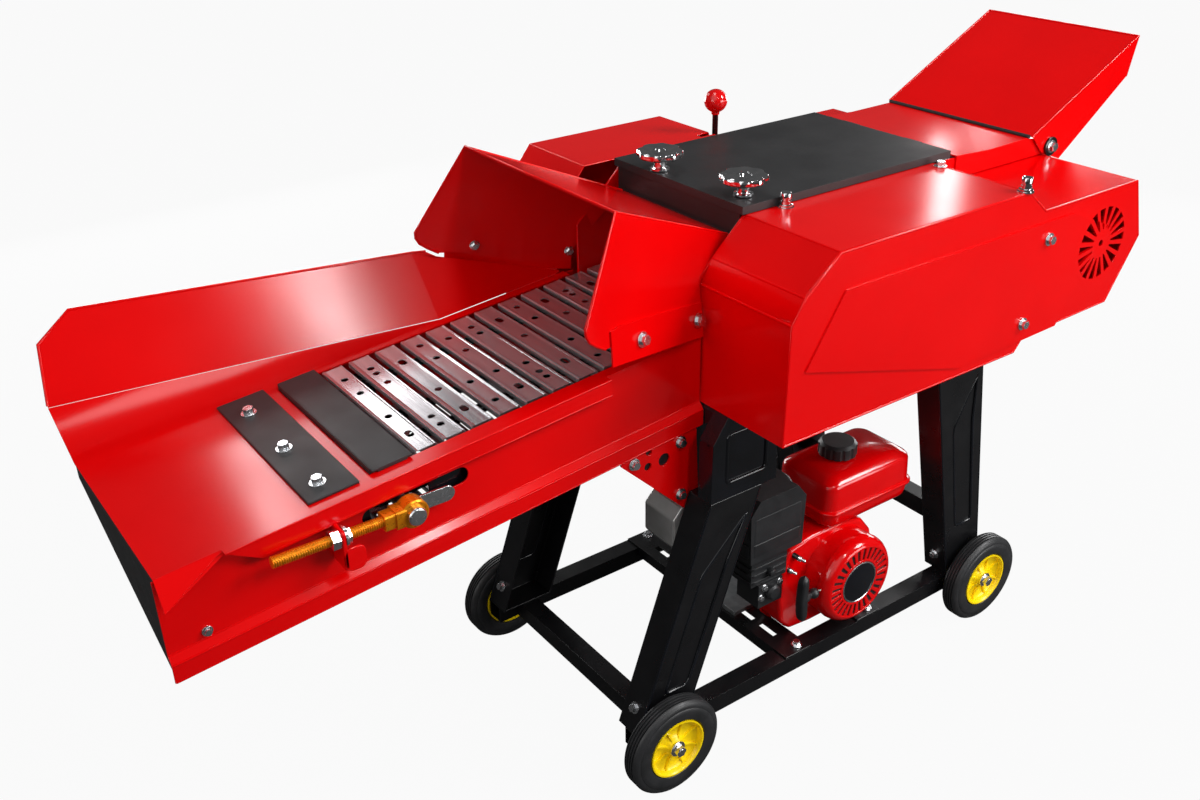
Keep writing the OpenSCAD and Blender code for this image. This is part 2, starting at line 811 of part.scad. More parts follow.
module chute() {
    roof = [chute_tip, chute_foot];
    cheek = [[chute_pivot_x - 22, chute_pivot_z - 10], [chute_pivot_x + 36, chute_pivot_z - 32],
        chute_tip + [-20, -78], chute_tip, chute_foot];
    color(RED) difference() {
        union() {
            along_y(-chute_y, chute_y) polygon(folded(roof, sheet));
            mirrored() along_y(chute_y - sheet, chute_y) polygon(cheek);
        }
        bar_y(pin_d + 2 * run_fit, -200, 200, chute_pivot_x, chute_pivot_z);
    }
}

// Feed hood: a roof and two flat cheeks that close in toward the housing
hood_end_x = trough_end_x - 1;
roof_end = [lid_x - 5, housing_top - 36];
hood_foot_x = hood_x - hood_reach;
hood_rear = [hood_end_x, trough_y - 2, housing_top - 170];
// Slopes of a cheek along x and z through the mouth's two corners and its rear foot
hood_dx1 = hood_foot_x - hood_x;
hood_dz1 = hood_foot_z - hood_z;
hood_dx2 = hood_rear[0] - hood_x;
hood_dz2 = hood_rear[2] - hood_z;
hood_det = hood_dx1 * hood_dz2 - hood_dx2 * hood_dz1;
hood_kx = ((hood_foot_y - hood_y) * hood_dz2 - (hood_rear[1] - hood_y) * hood_dz1) / hood_det;
hood_kz = ((hood_rear[1] - hood_y) * hood_dx1 - (hood_foot_y - hood_y) * hood_dx2) / hood_det;

// Point of a cheek at x and z, out standing off it
function cheek_at(p, out) = [p[0], hood_y + hood_kx * (p[0] - hood_x) + hood_kz * (p[1] - hood_z) + out, p[1]];

module cheek_plate(outline, out) {
    plate([for (p = outline) cheek_at(p, out)], sheet);
}

module feed_hood() {
    cheek = [[hood_x, hood_z], [hood_foot_x - 6, hood_foot_z + 17], [hood_foot_x - 5, hood_foot_z + 5],
        [hood_foot_x + 4, hood_foot_z - 9], [hood_foot_x + 34, hood_foot_z - 28], [hood_end_x, housing_top - 142],
        [hood_end_x, housing_top - 84], [roof_end[0], roof_end[1] - 6], roof_end];
    strap = [[hood_foot_x + 46, hood_foot_z - 4], [hood_foot_x + 44, hood_foot_z - 60], [hood_end_x, housing_top - 184],
        [hood_end_x, housing_top - 124], [hood_foot_x + 70, hood_foot_z - 2]];
    front = cheek_at([hood_x, hood_z], 2)[1];
    rear = cheek_at(roof_end, 2)[1];
    color(RED) {
        mirrored() {
            cheek_plate(cheek, 0);
            cheek_plate(strap, sheet + 0.3);
        }
        plate([[hood_x, front, hood_z], [hood_x, -front, hood_z], [roof_end[0], -rear, roof_end[1]],
            [roof_end[0], rear, roof_end[1]]], sheet);
    }
}

// Feed trough
lip_n = -trough_depth + 41;
rim_y = slat_y + 6;
slot_s = tension_s - 52;
slot_len = 151;
slot_h = 28;
wall_path = [[trough_y, -sheet - 0.2], [trough_y, lip_n], [trough_y + lip_out, lip_n - 12], [trough_y + lip_out, -trough_depth]];

lip_w = 14;
flap_t = sheet - 0.8;
lip_end = 742;

function trough_len() = (trough_end_x - trough_x) / cos(slope);

module trough_floor() {
    color(RED) {
        on_trough() translate([0, -trough_y, -sheet]) cube([floor_len, 2 * trough_y, sheet]);
        on_trough() for (s = [-1, 1]) translate([floor_len, s > 0 ? rim_y : -trough_y, -sheet])
            cube([trough_len() - floor_len - 20, trough_y - rim_y, sheet]);
        on_trough() {
            plate([[0, trough_y, 0], [wing_len, trough_y, 0], [0, trough_y + wing_out, wing_rise]], sheet);
            plate([[112, -trough_y, 0], [0, -trough_y, 0], [-5, -trough_y - 38, -32], [83, -trough_y - 5, -4]], flap_t);
            along_y(-trough_y - lip_w, -trough_y - lip_w + sheet) polygon([[95, 0], [142, -32], [lip_end, -26], [lip_end, 0]]);
            translate([95, -trough_y - lip_w, -sheet]) cube([lip_end - 95, lip_w + 1, sheet]);
        }
    }
}

// How far the wing's foot draws in toward the hood, for each millimetre along the trough
wing_toe = (wing_out - wing_rise * tan(wing_lean)) / wing_len;
wing_end = trough_len() - 28;

// Inner face of the wing at distance s along the trough and height n
function wing_at(s, n, toe) = [s, trough_y + 0.5 + (wing_len - s) * toe + n * tan(wing_lean), n];

module trough_wing() {
    front = [[0, wing_rise + 0.5], [wing_len, 1], [wing_len, wing_rear], [85, wing_top], [24, wing_top - 32]];
    beside_hood = [[wing_len - 3, 1], [wing_end, 1], [wing_end, 4], [wing_len + 50, wing_rear - 25],
        [wing_len + 24, wing_rear - 5], [wing_len - 3, wing_rear]];
    color(RED) on_trough() {
        plate([for (p = front) wing_at(p[0], p[1], wing_toe)], sheet);
        plate([for (p = beside_hood) wing_at(p[0], p[1], 0)], sheet);
    }
}

// Side wall; its front edge leans back by cut at the foot
module trough_wall(cut) {
    foot_z = trough_z - trough_depth - 20;
    difference() {
        on_trough() along_x(-24, trough_len() + 30) polygon(folded(wall_path, -sheet));
        translate([trough_end_x, 0, 0]) cube([200, 400, 1200]);
        along_y(0, 400) polygon([[trough_x - 200, foot_z], [trough_x - 3 + cut, foot_z], [trough_x - 3, trough_z + 20],
            [trough_x - 200, trough_z + 20]]);
        on_trough() {
            translate([slot_s, 0, conveyor_n - slot_h / 2]) cube([slot_len, 400, slot_h]);
            for (s = [slot_s, slot_s + slot_len]) bar_y(slot_h, 0, 400, s, conveyor_n);
        }
    }
}

module trough_walls() {
    color(RED) {
        mirror([0, 1, 0]) trough_wall(0);
        trough_wall(110);
    }
}

// End panel under the floor's front edge, cut away toward the left wall
module trough_front_panel() {
    half = trough_y - sheet - 0.3;
    x0 = trough_x + 1;
    color(BLACK) along_x(x0, x0 + sheet) polygon([[-half, trough_z - trough_depth + 2], [half, trough_z - 26],
        [half, trough_z - sheet - 1], [-half, trough_z - sheet - 1]]);
}

plate_t1 = 5;

module trough_cover_plates() {
    color(BLACK) on_trough() {
        translate([228, -180, 0]) cube([81, 360, plate_t1]);
        translate([floor_len + 3, -rim_y - 4, 3]) cube([67, 2 * rim_y + 8, plate_t1]);
        for (s = [-1, 1]) translate([floor_len + 12, s > 0 ? rim_y : -rim_y - 4, 0]) cube([50, 4, 3]);
    }
}

// Conveyor: slats carried round two chains
run_len = drive_s - tension_s;
loop_len = 2 * run_len + 2 * PI * chain_out;
slat_count = floor(loop_len / slat_pitch);

// Place at distance d along the outside of the chain loop: [s, n, angle]
function loop_at(d) = let (half = PI * chain_out)
    d < run_len ? [tension_s + d, conveyor_n + chain_out, 0]
    : d < run_len + half ? let (a = (d - run_len) / chain_out * 180 / PI)
        [drive_s + chain_out * sin(a), conveyor_n + chain_out * cos(a), -a]
    : d < 2 * run_len + half ? [drive_s - (d - run_len - half), conveyor_n - chain_out, -180]
    : let (a = (d - 2 * run_len - half) / chain_out * 180 / PI)
        [tension_s - chain_out * sin(a), conveyor_n - chain_out * cos(a), -180 - a];

slat_profile = [[-slat_w / 2, 0], [slat_w / 2, 0], [slat_w / 2, slat_h - 3], [slat_w / 2 - 4, slat_h],
    [slat_w / 2 - 8, slat_h], [slat_w / 2 - 10, slat_h - 3], [10 - slat_w / 2, slat_h - 3],
    [8 - slat_w / 2, slat_h], [4 - slat_w / 2, slat_h], [-slat_w / 2, slat_h - 3]];

module chain_loop(y) {
    along_y(y - 9, y + 9) difference() {
        chain_outline(chain_out);
        chain_outline(chain_in);
    }
}

module chain_outline(r) {
    translate([tension_s, conveyor_n]) circle(r);
    translate([drive_s, conveyor_n]) circle(r);
    translate([tension_s, conveyor_n - r]) square([run_len, 2 * r]);
}

module conveyor_belt() {
    color(STEEL) on_trough() {
        for (i = [0:slat_count - 1]) let (p = loop_at((i + 0.5) * loop_len / slat_count))
            translate([p[0], 0, p[1]]) rotate([0, -p[2], 0]) translate([0, 0, -0.6])
                along_y(-slat_y, slat_y) polygon(slat_profile);
        for (y = [-105, 105]) chain_loop(y);
    }
}

module sprockets(s, r) {
    at = trough_world(s, conveyor_n);
    for (y = [-105, 105]) bar_y(2 * r, y - 6, y + 6, at[0], at[1]);
}

tension_at = trough_world(tension_s, conveyor_n);
yoke_y = trough_y + lip_out + 4;
yoke_out = yoke_y + 26;

module conveyor_drive_shaft() {
    color(STEEL) {
        sprockets(drive_s, sprocket_r);
        bar_y(feed_shaft_d, -gear_y - 40, housing_y + 4, drive_at[0], drive_at[1]);
        bar_y(70, -gear_y - 34, -gear_y - 22, drive_at[0], drive_at[1]);
    }
}

module conveyor_tension_shaft() {
    color(STEEL) {
        sprockets(tension_s, idler_r);
        bar_y(feed_shaft_d - 8, -yoke_out - 3, yoke_out + 3, tension_at[0], tension_at[1]);
    }
}

rod_len = 170;

// Yoke with the eye for the tension shaft, its threaded rod and slide plate
module yoke() {
    x = tension_at[0];
    z = tension_at[1];
    difference() {
        union() {
            bar_y(46, yoke_y, yoke_out, x, z);
            translate([x - 46, yoke_y + 2, z - 12]) cube([34, 22, 24]);
            bar_x(rod_d, x - 46 - rod_len, x - 45, yoke_y + 13, z);
            translate([x + 12, yoke_y, z - 13]) cube([66, 4, 26]);
        }
        bar_y(feed_shaft_d - 8 + 2 * run_fit, yoke_y - 1, yoke_out + 1, x, z);
    }
}

module tensioner_yokes() {
    color([0.85, 0.5, 0.1]) mirrored() yoke();
}

bracket_x = tension_at[0] - 116;

// Bent bracket on the trough wall that holds the tensioner's rod between its nuts
module tensioner_bracket() {
    z = tension_at[1];
    difference() {
        union() {
            translate([bracket_x, trough_y + 0.2, z - 20]) cube([6, yoke_y + 30 - trough_y, 33]);
            translate([bracket_x, yoke_y + 24, z - 54]) cube([34, 6, 50]);
            translate([bracket_x, trough_y + 0.2, z - 54]) cube([34, 6, 50]);
            translate([bracket_x - 14, yoke_y + 13, z]) rotate([0, 90, 0]) cylinder(d = 26, h = 14, $fn = 6);
            bar_x(28, bracket_x + 6, bracket_x + 10, yoke_y + 13, z);
        }
        bar_x(rod_d + 2 * run_fit, bracket_x - 20, bracket_x + 20, yoke_y + 13, z);
    }
}

module tensioner_brackets() {
    color(RED) mirrored() tensioner_bracket();
}

// Feed rollers
roller_y = housing_y - plate_t - 22;

module ribbed_roller(x, z, gear_to) {
    y1 = roller_y;
    difference() {
        bar_y(2 * roller_r, -y1, y1, x, z);
        for (i = [0:9]) translate([x, 0, z]) rotate([0, 36 * i, 0]) translate([roller_r + 3, -y1 - 1, 0])
            rotate([-90, 0, 0]) cylinder(d = 16, h = 2 * y1 + 2);
    }
    bar_y(feed_shaft_d, -gear_to, housing_y + 14, x, z);
    bar_y(2 * roller_r + roller_gap - 4, -gear_y - 18, -gear_y, x, z);
}

module lower_feed_roller() {
    color(STEEL) {
        ribbed_roller(roller_x, roller_z, gear_y + 64);
        bar_y(90, -gear_y - 34, -gear_y - 22, roller_x, roller_z);
        bar_y(110, -gear_y - 58, -gear_y - 46, roller_x, roller_z);
    }
}

module upper_feed_roller() {
    color(STEEL) ribbed_roller(roller_x, roller_top_z, gear_y + 20);
}

// Floating bearing blocks of the upper roller, tied by a bar over it
guide_gap = 0.1;

module roller_carriage() {
    y0 = roller_y + 2;
    block_t = housing_y - plate_t - guide_gap - y0;
    color(BLACK) difference() {
        union() {
            mirrored() translate([roller_x - 24, y0, roller_top_z - 22]) cube([48, block_t, roller_r + 35]);
            translate([roller_x - 8, -y0 - 1, roller_top_z + roller_r + 3]) cube([16, 2 * y0 + 2, 10]);
        }
        bar_y(feed_shaft_d + 2 * run_fit, -250, 250, roller_x, roller_top_z);
    }
}

// Cutter drum on the main shaft
shaft_right = gear_y + 86;
drum_gear_r = 30;
counter_gear_r = 40;
counter_sprocket_r = 28;
counter_pin_d = 20;
gear_gap = 3;
counter_lift = 19;
counter_reach = drum_gear_r + counter_gear_r + gear_gap;
counter_at = [drum_x - counter_reach * cos(counter_lift), drum_z + counter_reach * sin(counter_lift)];
shaft_left = belt_y + 30;
blade_t = 8;
blade_w = 44;
seat_r = drum_r - 26;

module cutter_drum() {
    color(STEEL) {
        bar_y(main_shaft_d, -shaft_right, shaft_left, drum_x, drum_z);
        difference() {
            bar_y(2 * seat_r + 20, -drum_y, drum_y, drum_x, drum_z);
            for (i = [0:blade_n - 1]) translate([drum_x, 0, drum_z]) rotate([0, 360 / blade_n * i, 0])
                translate([seat_r - 40, -drum_y - 1, -2]) cube([80, 2 * drum_y + 2, 60]);
            for (y = [-drum_y + 16, 6]) difference() {
                bar_y(2 * seat_r + 40, y, y + drum_y - 22, drum_x, drum_z);
                bar_y(main_shaft_d + 30, y - 1, y + drum_y - 21, drum_x, drum_z);
            }
        }
        bar_y(2 * drum_gear_r, -gear_y - 80, -gear_y - 64, drum_x, drum_z);
    }
}

module cutter_blades() {
    color(STEEL) for (i = [0:blade_n - 1]) translate([drum_x, 0, drum_z]) rotate([0, 360 / blade_n * i, 0])
        difference() {
            translate([drum_r - blade_w - 4, -drum_y, -2]) cube([blade_w, 2 * drum_y, blade_t]);
            for (y = [-drum_y + 40, 0, drum_y - 40]) translate([drum_r - 26, y, -3]) cylinder(d = 9, h = blade_t + 2);
        }
}

// Flanged bearings of the main shaft, the countershaft's stub and the outboard bearing of the engine's output
module bearings() {
    color(STEEL) {
        mirrored() difference() {
            bar_y(110, housing_y, housing_y + 22, drum_x, drum_z);
            bar_y(main_shaft_d + 2 * run_fit, housing_y - 1, housing_y + 30, drum_x, drum_z);
        }
        bar_y(counter_pin_d, -gear_y - 86, -housing_y, counter_at[0], counter_at[1]);
        bar_y(32, -housing_y - 14, -housing_y, counter_at[0], counter_at[1]);
        difference() {
            union() {
                translate([crank_x - 45, rail_inner_y + 4, rail_top]) cube([57, rail_w - 8, mount_t + 1]);
                translate([crank_x - 45, rail_inner_y + 4, feet_z + 0.2]) cube([90, rail_w - 8, 16]);
                translate([crank_x - 25, rail_inner_y + 4, feet_z + 0.2]) cube([50, rail_w - 8, crank_h]);
                bar_y(64, rail_inner_y + 4, rail_outer_y - 4, crank_x, crank_z);
            }
            bar_y(output_d + 2 * run_fit, rail_inner_y, rail_outer_y, crank_x, crank_z);
        }
    }
}

// Belt drive
function groove(r) = [[0, 0], [r + 4, 0], [r + 4, 2], [r - belt_groove, 7], [r - belt_groove, 17], [r + 4, 22], [r + 4, 24], [0, 24]];

module pulley(r, bore, x, z) {
    translate([x, belt_y - 12, z]) rotate([-90, 0, 0]) difference() {
        rotate_extrude() polygon(groove(r));
        translate([0, 0, -1]) cylinder(d = bore, h = 30);
    }
}

module main_pulley() {
    color(BLACK) pulley(main_pulley_r, main_shaft_d + 2 * run_fit, drum_x, drum_z);
}

// Outline that wraps two round wheels
module wrap(a, ra, b, rb) {
    d = norm(b - a);
    lean = asin((ra - rb) / d);
    base = atan2(b[1] - a[1], b[0] - a[0]);
    up = base + 90 - lean;
    down = base - 90 + lean;
    polygon(concat(arc(a, ra, up, down + 360, 24), arc(b, rb, down, up, 24)));
}

module drive_belt() {
    slack = 0.6;
    t = 7;
    a = [crank_x, crank_z];
    b = [drum_x, drum_z];
    in = -belt_groove + slack;
    color(BLACK) along_y(belt_y - 4.5, belt_y + 4.5) difference() {
        wrap(a, engine_pulley_r + in + t, b, main_pulley_r + in + t);
        wrap(a, engine_pulley_r + in, b, main_pulley_r + in);
    }
}

module chain_band(a, ra, b, rb, y) {
    along_y(-y - 4, -y + 4) difference() {
        wrap(a, ra + 7, b, rb + 7);
        wrap(a, ra + 0.6, b, rb + 0.6);
    }
}

// Chains from the countershaft to the lower roller and on to the conveyor
module feed_chains() {
    color(STEEL) {
        chain_band([roller_x, roller_z], 55, counter_at, counter_sprocket_r, gear_y + 52);
        chain_band([drive_at[0], drive_at[1]], 35, [roller_x, roller_z], 45, gear_y + 28);
    }
}

// Gear and sprocket that turn the feed against the drum
module feed_countershaft() {
    color(STEEL) difference() {
        union() {
            bar_y(34, -gear_y - 82, -gear_y - 42, counter_at[0], counter_at[1]);
            bar_y(2 * counter_sprocket_r, -gear_y - 58, -gear_y - 46, counter_at[0], counter_at[1]);
            bar_y(2 * counter_gear_r, -gear_y - 80, -gear_y - 64, counter_at[0], counter_at[1]);
        }
        bar_y(counter_pin_d + 2 * run_fit, -gear_y - 90, -gear_y, counter_at[0], counter_at[1]);
    }
}

// Engine
block_y0 = -120;
fin_y = block_y0 + 6;
block_y1 = 62;
block_half = 78;

module engine_block() {
    fin_n = 8;
    color([0.72, 0.73, 0.75]) difference() {
        union() {
            along_y(block_y0, block_y1) polygon([[crank_x - block_half, feet_z], [crank_x + block_half, feet_z],
                [crank_x + block_half + 6, crank_z], [crank_x + block_half - 20, crank_z + 74],
                [crank_x - 34, crank_z + 86], [crank_x - block_half - 6, crank_z + 20]]);
            translate([front_mount_x + 6, block_y0 + 20, feet_z])
                cube([rear_mount_x + mount_w - 12 - front_mount_x, block_y1 - block_y0 - 40, 10]);
            translate([crank_x, 0, crank_z]) rotate([0, 25, 0]) {
                translate([-150, block_y0 + 24, -46]) cube([120, block_y1 - block_y0 - 48, 92]);
                for (i = [0:fin_n - 1]) translate([-188 + 13 * i, fin_y, -60]) cube([5, block_y1 - fin_y - 6, 120]);
                translate([-200, block_y0 + 34, -40]) cube([60, block_y1 - block_y0 - 68, 80]);
            }
            bar_y(96, block_y1, block_y1 + 22, crank_x, crank_z);
            translate([crank_x - 20, block_y0 + 10, crank_z + 70]) cube([70, 56, tank_z - crank_z - 70]);
        }
        bar_y(output_d + 2 * run_fit, block_y0 - 1, block_y1 + 30, crank_x, crank_z);
    }
}

shroud_y = -recoil_y + 66;
shroud_r = recoil_d / 2 + 10;

// Fan shroud and recoil starter cover with its ring of slots
module recoil_housing() {
    face_y = -recoil_y;
    color(RED) difference() {
        union() {
            bar_y(2 * shroud_r, shroud_y, block_y0, crank_x, crank_z);
            along_y(shroud_y + 14, block_y0) polygon([[crank_x - 92, feet_z + 12], [crank_x + 20, feet_z + 12],
                [crank_x + 90, crank_z - 40], [crank_x + 60, crank_z + 92], [crank_x - 70, crank_z + 106],
                [crank_x - 140, crank_z + 80], [crank_x - 150, crank_z - 20]]);
            translate([crank_x, face_y, crank_z]) rotate([-90, 0, 0]) rotate_extrude()
                polygon(concat([[0, 0], [recoil_d * 0.3, 0], [recoil_d * 0.3, 3]],
                    arc([recoil_d / 2 - 22, 24], 22, -84, 0, 8), [[recoil_d / 2, shroud_y - face_y], [0, shroud_y - face_y]]));
        }
        bar_y(2 * shroud_r - 8, shroud_y + 4, block_y0 + 1, crank_x, crank_z);
        bar_y(recoil_d - 8, face_y + 26, shroud_y + 5, crank_x, crank_z);
        for (i = [0:27]) translate([crank_x, 0, crank_z]) rotate([0, 360 / 28 * i, 0])
            translate([recoil_d * 0.33, face_y - 1, -2]) cube([recoil_d * 0.13, 28, 4]);
        bar_x(rope_d + 2 * run_fit, crank_x - recoil_d / 2 - 40, grip_x + 16 + pull, rope_y, grip_z);
    }
}

grip_x = crank_x - recoil_d / 2 - 48;
grip_z = crank_z + 13;
rope_y = -recoil_y + 13;
rope_d = 4;
pull = 150;

// Starter grip and the rope behind it
module recoil_handle() {
    half = 44;
    color(BLACK) {
        translate([grip_x, rope_y, grip_z - half]) cylinder(d = 20, h = 2 * half);
        for (dz = [-half, half]) translate([grip_x, rope_y, grip_z + dz]) sphere(d = 20);
        translate([grip_x, rope_y, grip_z]) rotate([0, 90, 0]) cylinder(d1 = 22, d2 = 12, h = 22);
        bar_x(rope_d, grip_x, grip_x + 12 + pull, rope_y, grip_z);
    }
}

tank_x = crank_x - 51;
tank_y = -recoil_y + 40;
rim_z = tank_z + tank_h * 0.34;

module tank_slab(margin, z0, z1, r) {
    hull() for (dx = [r + margin, tank_len - r - margin], dy = [r + margin, tank_w - r - margin])
        translate([tank_x + dx, tank_y + dy, z0]) cylinder(r = r, h = z1 - z0, $fn = 32);
}

neck_x = tank_x + 93;
neck_y = tank_y + tank_w / 2;
neck_d = 50;
cap_gap = 0.5;

// Fuel tank of two pressed halves with a seam flange and a filler neck
module fuel_tank() {
    color(RED) {
        tank_slab(14, tank_z, tank_z + 14, 24);
        tank_slab(6, tank_z + 14, rim_z - 3, 26);
        tank_slab(0, rim_z - 3, rim_z + 3, 30);
        tank_slab(6, rim_z + 3, tank_z + tank_h - 20, 26);
        tank_slab(20, tank_z + tank_h - 20, tank_z + tank_h, 24);
        translate([neck_x, neck_y, tank_z + tank_h]) cylinder(d = neck_d, h = 8);
    }
}

module fuel_cap() {
    cap_d = 78;
    z0 = tank_z + tank_h + cap_gap;
    color(BLACK) translate([neck_x, neck_y, z0]) difference() {
        union() {
            cylinder(d = cap_d, h = 22);
            translate([0, 0, 22]) cylinder(d1 = cap_d, d2 = cap_d - 14, h = 6);
        }
        translate([0, 0, -1]) cylinder(d = neck_d + 2 * run_fit, h = 1 + 8);
        for (i = [0:11]) rotate(30 * i) translate([cap_d / 2 + 5, 0, -1]) cylinder(d = 14, h = 40);
    }
}

cleaner_x = crank_x - 264;
cleaner_y = -recoil_y + 40;
cleaner_z = crank_z + 126;

// Air cleaner, its elbow and the carburettor under it
module air_cleaner() {
    color(BLACK) {
        along_y(cleaner_y, cleaner_y + 102) polygon([[cleaner_x + 4, cleaner_z], [cleaner_x + 136, cleaner_z],
            [cleaner_x + 140, cleaner_z + 108], [cleaner_x + 118, cleaner_z + 136], [cleaner_x + 22, cleaner_z + 136],
            [cleaner_x, cleaner_z + 108]]);
        translate([cleaner_x + 22, cleaner_y + 16, cleaner_z - 70]) cube([92, 66, 70]);
        translate([cleaner_x + 38, cleaner_y + 10, cleaner_z - 122]) cube([62, 62, 53]);
        bar_y(30, cleaner_y + 71, fin_y - 0.3, cleaner_x + 84, cleaner_z - 88);
    }
}

muffler_x = crank_x - 324;

// Pressed silencer with bevelled edges, and its pipe
module muffler() {
    y0 = -72;
    z0 = crank_z + 84;
    color(STEEL) {
        along_y(y0, y0 + 92) polygon([[muffler_x, z0 + 26], [muffler_x + 22, z0], [muffler_x + 84, z0],
            [muffler_x + 104, z0 + 26], [muffler_x + 104, z0 + 88], [muffler_x + 84, z0 + 112],
            [muffler_x + 22, z0 + 112], [muffler_x, z0 + 88]]);
        translate([crank_x, y0 + 30, crank_z]) rotate([0, 25, 0]) translate([-264, 0, -16]) cube([63.7, 34, 30]);
    }
}

flywheel_r = recoil_d / 2 - 20;

// Crankshaft with its flywheel, output shaft and belt pulley
module crankshaft() {
    color(STEEL) {
        bar_y(output_d, shroud_y + 8, belt_y + 30, crank_x, crank_z);
        bar_y(2 * flywheel_r, shroud_y + 8, shroud_y + 30, crank_x, crank_z);
        pulley(engine_pulley_r, output_d - 1, crank_x, crank_z);
    }
}

// Bolt through the front face of a leg that leans back by the angle
module foot_bolt(at, lean) {
    translate([at[0], rail_outer_y - leg_w / 2, at[1]]) rotate([0, lean - 90, 0]) bolt(14);
}

module fasteners() {
    bolt_s = 261;
    color(STEEL) {
        hinge_pins();
        // cover plate on the floor
        on_trough() for (y = [-142, -20, 121]) bolt_up(bolt_s, y, plate_t1, 16);
        // wheel nuts
        mirrored() for (x = [front_axle_x, rear_axle_x]) difference() {
            translate([x, wheel_out - 3.5, axle_z]) rotate([-90, 0, 0]) bolt(20);
            bar_y(axle_d + 2 * run_fit, wheel_out - 10, axle_end_y, x, axle_z);
        }
        // side covers
        for (p = [[drum_x - 171, 942], [drum_x - 212, 789]]) {
            bolt_right(p[0], cover_y + panel_rise, p[1], 15);
            bolt_left(p[0], cover_y, p[1], 15 + panel_rise / 0.55);
        }
        // posts and nuts on the cover's top
        for (p = [[lid_x + 85, 190], [drum_x - 245, 200], [drum_x - 245, cover_y - 8]]) bolt_up(p[0], -p[1], cover_top, 15);
        // gusset plates
        mirrored() for (p = gusset_bolts) bolt_left(p[0], gusset_y, p[1], 14);
        // hood straps
        mirrored() for (p = [[hood_foot_x + 118, hood_foot_z - 42], [hood_end_x - 12, housing_top - 150]])
            translate(cheek_at(p, 2 * sheet + 1)) rotate([0, 0, atan(hood_kx)]) rotate([-90 - atan(hood_kz), 0, 0]) bolt(16);
        // engine mounts
        mirrored() for (x = [front_mount_x, rear_mount_x]) bolt_up(x + 45, rail_outer_y - 18, feet_z, 14);
        // feet of the legs
        mirrored() {
            foot_bolt(leg_at(front_leg_outline, 0, 0.1), atan(front_lean / (block_bottom - rail_top)));
            foot_bolt(leg_at(rear_leg_outline, 0, 0.07), -atan(rear_lean / (cover_bottom - rail_top)));
        }
        // trough wall
        bolt_right(trough_x + 55, trough_y, trough_z - 109, 10);
    }
}

right_rail();
left_rail();
cross_bars();
engine_mounts();
front_right_leg();
front_left_leg();
rear_right_leg();
rear_left_leg();
leg_blocks();
gusset_plates();
axles();
front_right_tyre();
front_left_tyre();
rear_right_tyre();
rear_left_tyre();
front_right_hub();
front_left_hub();
rear_right_hub();
rear_left_hub();
housing_right_plate();
housing_left_plate();
housing_tray();
lid();
lid_knob_right();
lid_knob_left();
right_cover();
left_cover();
discharge_base();
chute();
feed_hood();
trough_floor();
trough_wing();
trough_walls();
trough_front_panel();
trough_cover_plates();
conveyor_belt();
conveyor_drive_shaft();
conveyor_tension_shaft();
tensioner_yokes();
tensioner_brackets();
lower_feed_roller();
upper_feed_roller();
roller_carriage();
cutter_drum();
cutter_blades();
bearings();
main_pulley();
drive_belt();
feed_chains();
feed_countershaft();
engine_block();
recoil_housing();
recoil_handle();
fuel_tank();
fuel_cap();
air_cleaner();
muffler();
crankshaft();
gear_lever();
fasteners();
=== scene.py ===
"""Looks of a wheeled petrol chaff cutter: finishes on its solids, and the pieces that only the eye needs."""

import math

import bmesh
import bpy
from mathutils import Matrix, Vector


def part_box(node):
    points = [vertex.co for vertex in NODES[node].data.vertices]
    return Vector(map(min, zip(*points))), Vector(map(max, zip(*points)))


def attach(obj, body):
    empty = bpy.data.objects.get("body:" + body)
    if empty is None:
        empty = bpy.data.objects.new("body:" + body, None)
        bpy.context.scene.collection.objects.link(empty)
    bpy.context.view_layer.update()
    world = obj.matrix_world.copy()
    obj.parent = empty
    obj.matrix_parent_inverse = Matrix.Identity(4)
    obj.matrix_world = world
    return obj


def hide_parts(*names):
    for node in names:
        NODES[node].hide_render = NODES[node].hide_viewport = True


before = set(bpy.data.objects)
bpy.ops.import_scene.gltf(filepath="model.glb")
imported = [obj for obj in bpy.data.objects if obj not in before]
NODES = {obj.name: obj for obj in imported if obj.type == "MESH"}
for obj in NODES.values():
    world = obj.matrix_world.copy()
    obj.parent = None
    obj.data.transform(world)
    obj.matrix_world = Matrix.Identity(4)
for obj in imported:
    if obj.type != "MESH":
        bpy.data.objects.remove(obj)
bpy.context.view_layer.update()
MM = 0.001


# Shader helpers

def linear(hex_colour):
    """An sRGB hex colour as linear RGBA."""
    parts = [int(hex_colour[i:i + 2], 16) / 255 for i in (1, 3, 5)]
    return [c / 12.92 if c <= 0.04045 else ((c + 0.055) / 1.055) ** 2.4 for c in parts] + [1.0]


def per_mm(size):
    """Texture scale, in object metres, of a pattern whose features are this many millimetres across."""
    return 1000.0 / size


def add(tree, kind, values, links=None):
    """Adds a shader node, sets its properties and sockets, and links sockets to outputs."""
    made = tree.nodes.new("ShaderNode" + kind)
    for key, value in values.items():
        if isinstance(key, int) or key in made.inputs:
            made.inputs[key].default_value = value
        else:
            setattr(made, key, value)
    for key, output in (links or {}).items():
        tree.links.new(output, made.inputs[key])
    return made


def start(name):
    """A new material with its tree, its shader and the object's own coordinates."""
    made = bpy.data.materials.new(name)
    made.use_nodes = True
    tree = made.node_tree
    shader = tree.nodes["Principled BSDF"]
    place = add(tree, "TexCoord", {}).outputs["Object"]
    return made, tree, shader, place


def noise(tree, place, size, detail):
    """Noise whose features are this many millimetres across."""
    return add(tree, "TexNoise", {"Scale": per_mm(size), "Detail": detail}, {"Vector": place}).outputs["Fac"]


